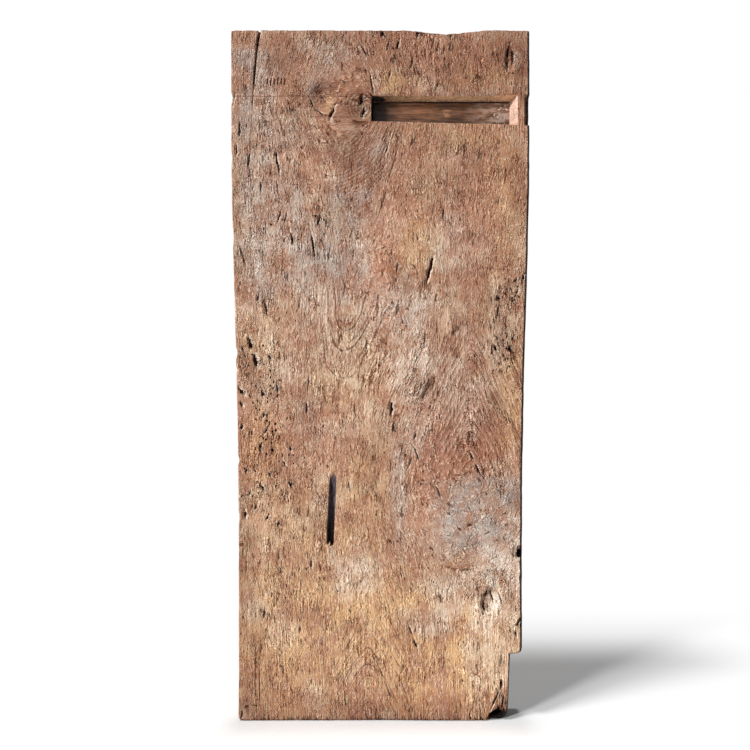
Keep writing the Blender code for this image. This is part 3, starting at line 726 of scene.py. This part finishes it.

    flaw = np.tile([6.0, 6.0, 0.0, 0.0], (total, 1))
    flaw[inFace] = flawField(x, z).reshape(-1, 4)
    (hx, hz), (hw, hh) = hollows["pegHole"][:2]  # the peg hole runs out over the arris
    over = np.concatenate(loops[1:4])
    over = over[np.hypot(px[over] - hx, pz[over] - hz) < 0.02]
    flaw[over, 0], flaw[over, 1] = (px[over] - hx) / (hw / 2), (pz[over] - hz) / (hh / 2)
    flaw[over, 2] = 1.0
    flaw[:, 3] = deepShade
    tones = ("pale", "grey", "rust", "gold", "dark")
    pale, grey, rust, gold, dark = (patchField(px, pz, key) * frontShare for key in tones)
    # the slot's ceiling takes the gold tone and the honey colour: painted light
    gold[under] = 1
    insects = patchField(px, pz, "insects", (1.2, 0.6), 0.0) * frontShare
    columns = {
        "grain": grainField(px, pz) + (py, lineSlope(px, pz)),
        "tone": (pale, grey, rust, gold),
        "flaw": flaw.T,
        "figure": figureField(px, pz, frontShare) + (insects, patchField(px, pz, "torn")),
        "state": (charred, recessShade, freshCutAndPaintedLight, endGrain),
        "shade": (combField(px, pz), dark, nickField(px, pz) * frontShare, lineField(px, pz, 0.0)),
    }
    attributes = {key: np.stack(each, 1) for key, each in columns.items()}
    piece = work.build("weathered_plank", attributes)
    triangles = sum(len(f) * (f.shape[1] - 2) for f in work.faces)
    print("plank:", total, "points,", triangles, "triangles")
    return piece


# one node: its kind, or in capitals the operation of a Math node; what its sockets take, in their order or by name (a
# value, a colour code or another node's output); and its settings, of which the main one can follow the kind
mainSetting = {"VectorMath": "operation", "MapRange": "interpolation_type"}


def addNode(tree, kind, *taken, out=0, **settings):
    kind, *choice = kind.split()
    places = range(len(taken))
    if kind.isupper():
        kind, settings["operation"] = "Math", kind
    elif kind == "Mix":  # share, first and second colour
        places, out, settings["data_type"] = (0, 6, 7), 2, "RGBA"
    elif choice:
        settings[mainSetting[kind]] = choice[0]
    made = tree.nodes.new("ShaderNode" + kind)
    for key, value in settings.items():
        setattr(made, key, value)
    named = taken[0] if taken and isinstance(taken[0], dict) else dict(zip(places, taken))
    for key, value in named.items():
        if isinstance(value, bpy.types.NodeSocket):
            tree.links.new(value, made.inputs[key])
        else:
            made.inputs[key].default_value = linear(value) if isinstance(value, str) else value
    return made.outputs[out] if made.outputs else None


# a new material and the call that adds nodes to it
def newMaterial(name):
    material = bpy.data.materials.new(name)
    material.use_nodes = True
    material.node_tree.nodes.clear()
    return material, functools.partial(addNode, material.node_tree)


# old tropical hardwood, hewn, dried and weathered: creases and torn fibre along the grain, rust and grey clouds, no
# shine; marks by width and length, metres, with fibres, flecks and grit coarser than real ones so that they show
wood = {
    "mid": "#b68b70",
    "brown": "#976a52",
    "plum": "#84655d",
    "olive": "#b2977b",
    "blush": "#cfa388",
    "beige": "#cbb098",
    "sienna": "#9d7059",
    "dark": "#5b301f",
    "pale": "#ead2bd",
    "rust": "#a3654a",
    "gold": "#d2a97c",
    "grey": "#a39b96",
    "bloom": "#dccab9",
    "paintedShade": "#451f12",
    "pit": "#240f0a",
    "charAndShadeBlack": "#181314",
    "ash": "#62555b",
    "cut": "#e9c3af",
    "honey": "#f8c499",
    "fine": (0.0021, 0.018),
    "crease": (0.006, 0.02),
    "tear": (0.0025, 0.0058),
    "comb": (0.003, 0.08),  # long straight lines, seen low down and by the slot
    "crack": (0.0036, 0.017),
    "split": (0.0052, 0.048),
    "crumple": (0.0115, 0.032),
    "strand": (0.013, 0.12),
    "nick": (0.0095, 0.036),
    "lineGap": 0.0056,
    "grit": (0.0025, 0.0031),
    "fleck": (0.0062, 0.0125),
    "wormHole": (0.0085, 0.0153),
    "ringGap": 0.0125,
    "swirl": 0.022,  # from here on sizes of clouds
    "cluster": 0.04,
    "blotch": 0.048,
    "cloud": 0.12,
    "drift": 0.07,
    "ragged": (0.02, 0.042),
    "relief": 0.0012,  # height of the bump
}
knifeNicks = {"lean": -0.105, "start": 0.4428, "gap": 0.0085, "middle": -0.4216, "reach": 0.0243, "level": 1.582}
scribed = ((1.535, -0.4, -0.087), (1.4845, -0.173, -0.075))  # height, left and right end


def plankMaterial():
    material, put = newMaterial("weathered hardwood")
    w = wood
    place = put("TexCoord", out="Object")
    grain = put("Attribute", attribute_name="grain", out="Vector")
    slope = grain.node.outputs["Alpha"]
    fields = {}
    for key in ("tone", "state", "figure", "shade", "flaw"):
        held = put("Attribute", attribute_name=key).node.outputs
        fields[key] = (*put("SeparateColor", held["Color"]).node.outputs, held["Alpha"])
    paleMask, greyMask, rustMask, goldMask = fields["tone"]
    charred, recessShade, freshCutAndPaintedLight, endGrain = fields["state"]
    ringWay, ringMask, wormMask, tornMask = fields["figure"]
    combMask, darkMask, nickMask, lineWay = fields["shade"]
    across, along, deepness, deepShade = fields["flaw"]

    # the grain is bent by small swirls so that no fibre runs straight, except where it is combed
    bend = put("TexNoise", {"Vector": place, "Scale": 1 / w["swirl"], "Detail": 2.0}, out="Color")
    bend = put("VectorMath SUBTRACT", bend, (0.5, 0.5, 0.5))
    bend = put("VectorMath MULTIPLY", bend, (0.012, 0.01, 0.004))
    straight = put("MULTIPLY_ADD", ringMask, 1.8, combMask)
    straight = put("MINIMUM", straight, 1.0)
    straight = put("MapRange", straight, 0, 1, 1.0, 0.22, clamp=False)
    bend = put("VectorMath SCALE", {0: bend, "Scale": straight})
    bent = put("VectorMath ADD", grain, bend)

    # noises drawn out along the grain
    noises = {}
    for key, detail in (("fine", 0.5), ("crease", 0.5), ("tear", 0.5), ("comb", 0.5), ("crack", 0.8), ("split", 0.8),
                        ("crumple", 1.5), ("strand", 2.0), ("fleck", 3.0), ("grit", 0.6), ("ragged", 3.0)):
        width, length = w[key]
        drawn = put("VectorMath MULTIPLY", bent, (1 / width, 1 / length, 1 / width))
        noises[key] = put("TexNoise", {"Vector": drawn, "Scale": 1.0, "Detail": detail, "Roughness": 0.6})
    fine, crease, tear, comb, _, _, crumple, strand, fleck, grit, harsh = noises.values()
    # fibre lines side by side, swaying and broken off here and there
    sway = put("ADD", put("SeparateXYZ", bend), lineWay)
    sway = put("MULTIPLY_ADD", strand, 0.014, sway)
    sway = put("MULTIPLY", sway, 2 * math.pi / w["lineGap"])
    fibre = put("COSINE", sway)
    fibre = put("MULTIPLY", fibre, put("MapRange SMOOTHSTEP", crease, 0.36, 0.62, 0.1))
    cluster = put("TexNoise", {"Vector": grain, "Scale": 1 / w["cluster"], "Detail": 2.0})
    strong = put("MapRange SMOOTHSTEP", cluster, 0.4, 0.6, 0.25)
    strong = put("MAXIMUM", strong, combMask)
    fibre = put("MULTIPLY", fibre, strong)
    blotch = put("TexNoise", {"Vector": place, "Scale": 1 / w["blotch"], "Detail": 3.0, "Roughness": 0.55})
    cloud = put("TexNoise", {"Vector": place, "Scale": 1 / w["cloud"], "Detail": 3.0}, out="Color")
    # worn smooth here and ragged there
    harsh = put("POWER", put("MULTIPLY", harsh, 2.0), 2.3)
    ragged = put("MULTIPLY_ADD", tornMask, 0.45, 1.0)
    ragged = put("MULTIPLY_ADD", put("MAXIMUM", combMask, 0.0), -0.18, ragged)
    harsh = put("MULTIPLY", harsh, ragged)
    # crumpled folds, sharp at the bottom
    fold = put("SUBTRACT", crumple, 0.5)
    fold = put("MINIMUM", put("ABSOLUTE", fold), 0.1)
    fold = put("MULTIPLY", fold, put("MapRange", cluster, 0.4, 0.62, 0.1))

    # clouds of three hues, then the placed tones, their edges broken up along the fibre
    clouds = put("SeparateColor", cloud).node.outputs
    colour = put("Mix", 0.35, w["mid"], w["brown"])
    spared = put("MapRange", goldMask, 0, 1, 1.0, 0.25)
    for hue, source, most in zip(("plum", "olive", "blush"), clouds, (0.42, 0.55, 0.45)):
        both = put("MULTIPLY_ADD", blotch, 0.6, source)
        amount = put("MapRange SMOOTHSTEP", both, 0.76, 0.96, 0.0, most)
        amount = put("MULTIPLY", amount, spared)
        colour = put("Mix", amount, colour, w[hue])
    blotches = put("SeparateColor", blotch.node.outputs["Color"]).node.outputs
    for tone, source, low, high, most in (
            ("beige", blotch, 0.5, 0.66, 0.45), ("sienna", blotch, 0.5, 0.34, 0.45),
            ("plum", blotches[1], 0.54, 0.72, 0.3), ("blush", blotches[2], 0.54, 0.72, 0.25)):
        amount = put("MapRange SMOOTHSTEP", source, low, high, 0.0, most)
        colour = put("Mix", amount, colour, w[tone])
    ragged = put("MULTIPLY_ADD", crease, 0.4, blotch)
    ragged = put("MULTIPLY_ADD", fleck, 0.5, ragged)
    for tone, mask, most in (("rust", rustMask, 1.0), ("gold", goldMask, 1.3), ("grey", greyMask, 1.1),
                             ("bloom", paleMask, 1.15)):
        amount = put("MapRange SMOOTHSTEP", ragged, 0.66, 1.22, 0.1, most)
        amount = put("MULTIPLY", mask, amount, use_clamp=True)
        colour = put("Mix", amount, colour, w[tone])
    combed = put("MULTIPLY_ADD", put("SUBTRACT", comb, 0.5), strong, 0.5)

    # value over the noise: dark in the low places, level above them
    value = None
    for layer, low, high, least, most in (
            (strand, 0.32, 0.68, 0.83, 0.97), (combed, 0.32, 0.68, 0.78, 1.22), (fleck, 0.3, 0.7, 0.88, 1.12),
            (fibre, -0.9, 0.6, 0.82, 1.08), (fine, 0.34, 0.58, 0.92, 1.04), (tear, 0.34, 0.54, 0.94, 1.02),
            (grit, 0.3, 0.52, 0.66, 1.12)):
        light = put("MapRange", layer, low, high, least, most)
        value = put("MULTIPLY", value, light) if value else light
    value = put("POWER", put("MULTIPLY", value, 1.25), harsh)
    colour = put("Mix", 1.0, colour, value, blend_type="MULTIPLY")
    # the low places are redder
    deep = put("MINIMUM", value, 1.12)
    reds, blues = (put("POWER", deep, power) for power in (-0.6, 0.4))
    tint = put("CombineColor", reds, 1.0, blues)
    colour = put("Mix", 1.0, colour, tint, blend_type="MULTIPLY")
    colour = put("Gamma", colour, 1.08)
    colour = put("Mix", 1.0, colour, (0.872, 0.866, 0.866, 1.0), blend_type="MULTIPLY")

    # slits and holes: the ellipse that each face point was given, frayed by the flecks
    frayed = across
    for layer, most in ((fleck, 2.4), (grit, 1.6), (crease, 1.6)):
        frayed = put("MULTIPLY_ADD", put("SUBTRACT", layer, 0.5), most, frayed)
    reach = put("MULTIPLY_ADD", frayed, frayed, put("MULTIPLY", along, along))
    slit = put("MapRange SMOOTHSTEP", reach, 1.15, 0.7)
    brink = put("MULTIPLY", put("MapRange SMOOTHSTEP", reach, 4.5, 0.4), deepness)
    slit = put("MULTIPLY", slit, put("MapRange", deepness, 0, 0.85))

    # cracks in clusters and round the slits, torn fibre standing up pale
    hurt = put("MULTIPLY", put("MapRange SMOOTHSTEP", reach, 14.0, 2.0), deepness)
    cracks = {}
    for key, least, most, rare in (("crack", 0.5, 0.66, -0.245), ("split", 0.52, 0.38, -0.215)):
        here = put("MapRange SMOOTHSTEP", cluster, least, most, 0.0, 0.6)
        patchy = put("MapRange", fleck, 0.4, 0.56, 0.0, tornMask)
        here = put("MAXIMUM", put("MAXIMUM", here, patchy), hurt)
        under = put("ADD", noises[key], put("MapRange", here, 0, 1, rare, -0.395))
        cracks[key] = put("MapRange SMOOTHSTEP", under, 0.024, -0.012, 0.0, 0.8)
    # a pale rim on the side of each slit that faces the light: painted highlight
    lit = put("MapRange SMOOTHSTEP", reach, 7.5, 1.6, 0.0, 0.85)
    lit = put("MULTIPLY", lit, put("GREATER_THAN", across, 0.3))
    lit = put("MULTIPLY", lit, put("MapRange", deepness, 0.5))
    torn = put("ADD", tear, fine)
    torn = put("MapRange SMOOTHSTEP", torn, 1.1, 1.34, 0.0, 0.45)

    # growth rings where they come to the face, unevenly spaced
    swing = put("TexNoise", {"Vector": place, "Scale": 1 / w["drift"], "Detail": 0.0})
    ripple = put("MULTIPLY_ADD", swing, 0.01, ringWay)
    ripple = put("ADD", put("SeparateXYZ", bend), ripple)
    ring = None
    for shift, most in ((0.0, 1.0), (0.004, 0.55)):  # each line has a fainter one beside it
        off = put("PINGPONG", put("ADD", ripple, shift), w["ringGap"] / 2)
        off = put("DIVIDE", off, slope)
        line = put("MapRange SMOOTHSTEP", off, 0.0027, 0.0007, 0.0, most)
        ring = put("MAXIMUM", ring, line) if ring else line
    ring = put("MULTIPLY", ring, put("MapRange", strand, 0.38, 0.62, 1.1, 0.25))  # broken here and there
    ring = put("MULTIPLY", ring, put("MULTIPLY_ADD", strong, 0.12, ringMask))
    shade = put("MULTIPLY", darkMask, 0.8, use_clamp=True)
    shade = put("MULTIPLY_ADD", endGrain, 0.45, shade, use_clamp=True)

    # two scribed lines level with the slot, left of it
    x, y, z = put("SeparateXYZ", place).node.outputs
    scratches = []
    for level, first, last in scribed:
        wander = put("MULTIPLY_ADD", blotch, 0.004, z)
        off = put("ABSOLUTE", put("SUBTRACT", wander, level + 0.002))
        line = put("MapRange SMOOTHSTEP", off, 0.0022, 0.0004, 0.0, 0.55)
        for test, axis, limit in (("LESS_THAN", x, last), ("GREATER_THAN", x, first), ("LESS_THAN", y, 0.0)):
            line = put("MULTIPLY", line, put(test, axis, limit))
        scratches.append((line, "dark"))

    # a row of six knife nicks, leaning
    way = put("MULTIPLY_ADD", z, knifeNicks["lean"], x)
    off = put("PINGPONG", put("ADD", way, knifeNicks["start"]), knifeNicks["gap"] / 2)
    nicked = put("MapRange SMOOTHSTEP", off, 0.0026, 0.0012)
    ends = put("MULTIPLY_ADD", fleck, 0.022, z)
    for axis, middle, half in ((way, knifeNicks["middle"], knifeNicks["reach"]), (ends, knifeNicks["level"], 0.0085),
                               (y, -plank["thickness"] / 2, 0.01)):
        nicked = put("MULTIPLY", nicked, put("COMPARE", axis, middle, half))

    # nicks and worm holes: one in each cell whose own random number is under the mask
    marks = [slit]
    for mask, size, reachOut in ((wormMask, w["wormHole"], 0.23), (nickMask, w["nick"], 0.14)):
        cells = put("VectorMath MULTIPLY", bent, (1 / size[0], 1 / size[1], 0.0))
        mark = put("TexVoronoi", {"Vector": cells, "Scale": 1.0}, voronoi_dimensions="2D").node
        there = put("LESS_THAN", put("SeparateColor", mark.outputs["Color"]), mask)
        edge = put("MULTIPLY_ADD", grit, 0.35, -0.175)
        edge = put("ADD", edge, mark.outputs["Distance"])
        mark = put("MapRange SMOOTHSTEP", edge, reachOut, reachOut * 0.68)
        marks.append(put("MULTIPLY", mark, there))
    # slits, worm holes, nicks and the gaps between fibre ends at the foot go near black: painted shade inside them
    hole = put("MAXIMUM", marks[0], marks[1])
    hole = put("MAXIMUM", hole, put("MULTIPLY", marks[2], 0.75))
    foot = put("MapRange", z, 0.015, 0.003, 0.0, 0.9)  # fibre ends part at the foot
    foot = put("MULTIPLY", foot, put("MapRange", comb, 0.46, 0.4))
    hole = put("MAXIMUM", hole, foot)

    # all of these over the colour: cracks, splits, knife nicks and holes dark as painted shade, the slits' lit
    # rims pale as painted highlight, and patchy painted shade in the slot and the deep hollows; then bright new
    # wood at the slot's right end and painted light on its ceiling, char in the burnt groove, and black painted
    # shade on the lock edge, in the rotten corner and at the left end of the slot's ceiling
    # patchy painted shade in the slot and the deep hollows
    paintedShade = put("MapRange", blotch, 0.3, 0.7, 0.25, 0.65)
    paintedShade = put("MULTIPLY", paintedShade, recessShade, use_clamp=True)
    for share, tone in (
            (cracks["crack"], "paintedShade"), (cracks["split"], "paintedShade"), (lit, "pale"), (torn, "pale"), (ring, "dark"),
            (shade, "dark"), *scratches, (nicked, "paintedShade"), (hole, "pit"), (paintedShade, "dark")):
        colour = put("Mix", share, colour, w[tone])
    # pale new wood at the slot's right end, and painted light in honey on the slot's ceiling
    newWoodAndPaintedLight = put("MULTIPLY", put("MapRange", fleck, 0.3, 0.62, 0.45), freshCutAndPaintedLight)
    cut = put("Mix", put("MapRange", goldMask, 0.92), w["cut"], w["honey"])
    colour = put("Mix", newWoodAndPaintedLight, colour, cut)
    burnt = put("Mix", crease, w["charAndShadeBlack"], w["ash"])
    colour = put("Mix", charred, colour, burnt)
    # black on the lock edge, in the rotten corner and at the left end of the slot's ceiling: painted shade
    blackShade = put("MULTIPLY_ADD", fleck, 0.9, deepShade)
    blackShade = put("MapRange SMOOTHSTEP", blackShade, 0.83, 1.08, 0.0, 0.95)
    colour = put("Mix", blackShade, colour, w["charAndShadeBlack"])

    # relief, in shares of the bump's distance: strands, fibres and crumples, cracks, rings and the holes
    height = put("MULTIPLY", strand, 1.4)
    for layer, most in (
            (fibre, 0.4), (fine, 1.1), (tear, 1.0), (combed, 0.9), (cracks["crack"], -2.6), (cracks["split"], -2.4),
            (fleck, 2.6), (grit, 2.6), (crumple, 2.8), (fold, 20.0), (ring, -0.6), (hole, -1.6), (brink, -2.8)):
        height = put("MULTIPLY_ADD", layer, most, height)
    bump = put("Bump", {"Height": height, "Distance": w["relief"], "Strength": harsh})
    rough = put("MapRange", crease, 0.3, 0.7, 0.95, 0.8)
    dull = put("MAXIMUM", put("MAXIMUM", cracks["crack"], cracks["split"]), hole)
    sheen = put("MapRange", dull, 0, 0.8, 0.22, 0.0)
    shader = put("BsdfPrincipled", {
        "Base Color": colour, "Roughness": rough, "Normal": bump, "IOR": 1.45, "Specular IOR Level": sheen})
    put("OutputMaterial", shader)
    return material


doorPiece = buildPlank()
doorPiece.data.materials.append(plankMaterial())
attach(doorPiece, "door")
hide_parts("door_plank")

bolt = {  # metres, drawn back as in the solid
    "left": -0.02, "right": 0.3585, "low": 1.4763, "high": 1.5335, "face": 0.003, "tongueBack": 0.017, "back": 0.023,
    "shoulder": 0.24, "corner": 0.003, "crown": 0.0016, "nose": 0.006, "heel": 0.003,
    "grain": (0.045, 0.005, 0.005), "smear": (0.03, 0.012, 0.01), "speck": 0.005,
    "dark": "#2a180c", "brown": "#966649", "dust": "#ac9688", "grit": "#d8cdc2", "chip": "#a9795a",
}


# a rounded bar carried along x: face crowned, back stepped at the shoulder, nose eased
def buildBolt():
    work = Patchwork()
    stations = np.concatenate([
        bolt["left"] + np.array([0.0, 0.0012, bolt["heel"]]), np.linspace(0.0, 0.2335, 46),
        bolt["shoulder"] - np.array([0.003, 0.0]), np.linspace(0.2405, 0.35, 24),
        bolt["right"] - np.array([bolt["nose"], 0.003, 0.0012, 0.0])])
    rise = np.linspace(0, 1, 13)
    turn = np.linspace(0, math.pi / 2, 5)
    high = (bolt["high"] - bolt["low"]) / 2
    middle = (bolt["high"] + bolt["low"]) / 2
    loops = []
    for at in stations:
        end = max(bolt["left"] + bolt["heel"] - at, at - bolt["right"] + bolt["nose"], 0.0)
        inset = 0.3 * end
        if at < 0:
            inset = bolt["heel"] - math.sqrt(max(bolt["heel"] ** 2 - min(end, bolt["heel"]) ** 2, 0.0))
        back = bolt["back"] if at <= bolt["shoulder"] - 0.001 else bolt["tongueBack"]
        halfY, halfZ = (back - bolt["face"]) / 2 - inset, high - inset
        cy = (back + bolt["face"]) / 2
        # upward along the face, over the top, down the back, under
        c = min(bolt["corner"], halfY * 0.9)
        faceZ = (-halfZ + c) + rise * 2 * (halfZ - c)
        ys = np.concatenate([np.full(13, -halfY), -halfY + c - c * np.cos(turn[1:]), halfY - c + c * np.sin(turn),
                             np.full(11, halfY), halfY - c + c * np.cos(turn), -halfY + c - c * np.sin(turn[:-1])])
        zs = np.concatenate([faceZ, halfZ - c + c * np.sin(turn[1:]), halfZ - c + c * np.cos(turn),
                             faceZ[::-1][1:-1], -halfZ + c - c * np.sin(turn), -halfZ + c - c * np.cos(turn[:-1])])
        onFace = np.zeros(len(ys))
        onFace[:13] = 1
        crown = bolt["crown"] * (zs / halfZ) ** 2 * onFace
        worn = 0.0004 * (1 + lumps(at / 0.03, zs / 0.012, 101)) * onFace
        loops.append(work.addPoints(at, cy + ys + crown + worn, middle + zs))
    for inner, outer in zip(loops, loops[1:]):
        work.addBand(inner, outer)
    work.faces += [loops[0][None, :], loops[-1][None, :]]
    piece = work.build("worn_bolt", {})
    print("bolt:", work.count, "points")
    return piece


# hardwood bolt, dark and smooth from hands, level grain; dust lies thick towards its free end
def boltMaterial():
    material, put = newMaterial("handled hardwood")
    place = put("TexCoord", out="Object")
    drawn = []
    for key, harsh in (("grain", 0.72), ("smear", 0.7)):
        marks = put("VectorMath MULTIPLY", place, tuple(1 / size for size in bolt[key]))
        drawn.append(put("TexNoise", {"Vector": marks, "Scale": 1.0, "Detail": 5.0, "Roughness": harsh}))
    grain, smear = drawn
    speck = put("TexNoise", {"Vector": place, "Scale": 1 / bolt["speck"], "Detail": 2.0, "Roughness": 0.7})
    colour = put("ValToRGB", grain)
    ramp = colour.node.color_ramp
    ramp.elements[0].position, ramp.elements[0].color = 0.32, linear(bolt["dark"])
    ramp.elements[1].position, ramp.elements[1].color = 0.7, linear(bolt["brown"])
    x, _, z = put("SeparateXYZ", place).node.outputs
    # the bolt's left end darkened as painted shadow of the slot's left wall, and the bolt darker towards its bottom
    for way, near, undarkenedAt in ((x, -0.002, 0.062), (z, 1.462, 1.506)):
        paintedShadeAndLowDark = put("MapRange SMOOTHSTEP", way, near, undarkenedAt, 0.04)
        colour = put("Mix", 1.0, colour, paintedShadeAndLowDark, blend_type="MULTIPLY")
    off = put("ABSOLUTE", put("SUBTRACT", x, 0.19))
    worn = put("MapRange SMOOTHSTEP", off, 0.015, 0.075, 0.62, 1.12)
    colour = put("Mix", 1.0, colour, worn, blend_type="MULTIPLY")
    dust = put("MapRange SMOOTHSTEP", x, 0.2, 0.28, 0.06, 0.85)
    dust = put("MULTIPLY", dust, put("MapRange SMOOTHSTEP", smear, 0.38, 0.66))
    colour = put("Mix", dust, colour, bolt["dust"])
    off = put("ABSOLUTE", put("SUBTRACT", x, 0.305))
    rare = put("MapRange SMOOTHSTEP", off, 0.012, 0.04, 0.61, 0.76)
    grit = put("MapRange", put("SUBTRACT", speck, rare), 0.0, 0.05)
    colour = put("Mix", grit, colour, bolt["grit"])
    # a chip knocked out of the front
    across, up = (put("DIVIDE", put("SUBTRACT", way, middle), half)
                  for way, middle, half in ((x, 0.166, 0.0085), (z, 1.508, 0.0095)))
    far = put("VectorMath LENGTH", put("CombineXYZ", across, up), out=1)
    far = put("MULTIPLY_ADD", smear, 5.0, far)
    chip = put("MapRange", far, 3.9, 3.5, 0.0, 0.8)
    chip = put("MULTIPLY", chip, put("MapRange", grain, 0.42, 0.58, 0.2))
    colour = put("Mix", chip, colour, bolt["chip"])
    height = put("MULTIPLY_ADD", grain, 0.8, speck)
    bump = put("Bump", {"Height": height, "Distance": 0.0006, "Strength": 0.8})
    rough = put("MapRange", dust, 0, 1, 0.48, 0.85)
    shader = put("BsdfPrincipled", {
        "Base Color": colour, "Roughness": rough, "Normal": bump, "IOR": 1.45, "Specular IOR Level": 0.3})
    put("OutputMaterial", shader)
    return material


boltPiece = buildBolt()
boltPiece.data.materials.append(boltMaterial())
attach(boltPiece, "bolt")
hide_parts("sliding_bolt")

# camera, level and square to the face, as far off as the strip of slot ceiling asks
shot = {"away": 1.6, "millimetresPerPixel": 2.4638, "at": (-0.0133, 0.85)}
camera = bpy.data.objects.new("camera", bpy.data.cameras.new("camera"))
bpy.context.scene.collection.objects.link(camera)
camera.location = (shot["at"][0], -plank["thickness"] / 2 - shot["away"], shot["at"][1])
camera.rotation_euler = (math.radians(90), 0, 0)
camera.data.sensor_width = 36
camera.data.lens = 36 * (shot["away"] + 0.006) / (0.75 * shot["millimetresPerPixel"])
bpy.context.scene.camera = camera

# floor and world: white to the camera, a plain pale floor to the light, with the shadow left on it
stage = {"floorColour": 0.7, "fadeFrom": 0.3, "fadeTo": 0.75, "ambient": 0.16}
floorMesh = bpy.data.meshes.new("floor")
floorMesh.from_pydata([(-8, -6, 0), (8, -6, 0), (8, 10, 0), (-8, 10, 0)], [], [(0, 1, 2, 3)])
floor = bpy.data.objects.new("floor", floorMesh)
bpy.context.scene.collection.objects.link(floor)


def seenDirectly(put):  # camera rays, and the rays that mirror and glass send on
    path = put("LightPath").node
    seen = put("MAXIMUM", path.outputs["Is Camera Ray"], path.outputs["Is Glossy Ray"])
    return put("MAXIMUM", seen, path.outputs["Is Transmission Ray"])


def floorMaterial():
    material, put = newMaterial("pale studio floor")
    lit = put("BsdfDiffuse", {"Color": (stage["floorColour"],) * 3 + (1,)})
    back = put("SeparateXYZ", put("TexCoord", out="Object")).node.outputs[1]
    fade = put("MapRange SMOOTHSTEP", back, stage["fadeFrom"], stage["fadeTo"])
    white = put("Emission", {"Color": (1, 1, 1, 1), "Strength": 1.0})
    amount = put("MULTIPLY", fade, seenDirectly(put))
    put("OutputMaterial", put("MixShader", amount, lit, white))
    return material


floorMesh.materials.append(floorMaterial())
world = bpy.data.worlds.new("studio")
world.use_nodes = True
world.node_tree.nodes.clear()
put = functools.partial(addNode, world.node_tree)
level = put("MapRange", seenDirectly(put), 0, 1, stage["ambient"])
put("OutputWorld", put("Background", {"Color": (1, 1, 1, 1), "Strength": level}))
bpy.context.scene.world = world

# a soft lamp low on the left rakes the face, another high on the left lays the shadow on the floor, and one right
# overhead gives the small soft shadow in front of the foot
lamps = {  # the way the light goes, strength, spread in degrees
    "rake": ((0.745, 0.595, -0.3), 3.7, 9),
    "high": ((0.372, 0.197, -0.907), 2.2, 8),
    "over": ((0.0, -0.03, -1.0), 0.9, 2.5),
}
for name, (towards, strength, spread) in lamps.items():
    lamp = bpy.data.objects.new(name, bpy.data.lights.new(name, "SUN"))
    lamp.data.energy = strength
    lamp.data.angle = math.radians(spread)
    lamp.rotation_euler = Vector(towards).to_track_quat("-Z", "Y").to_euler()
    bpy.context.scene.collection.objects.link(lamp)
print("stage set")

bpy.context.scene.view_settings.view_transform = "Standard"
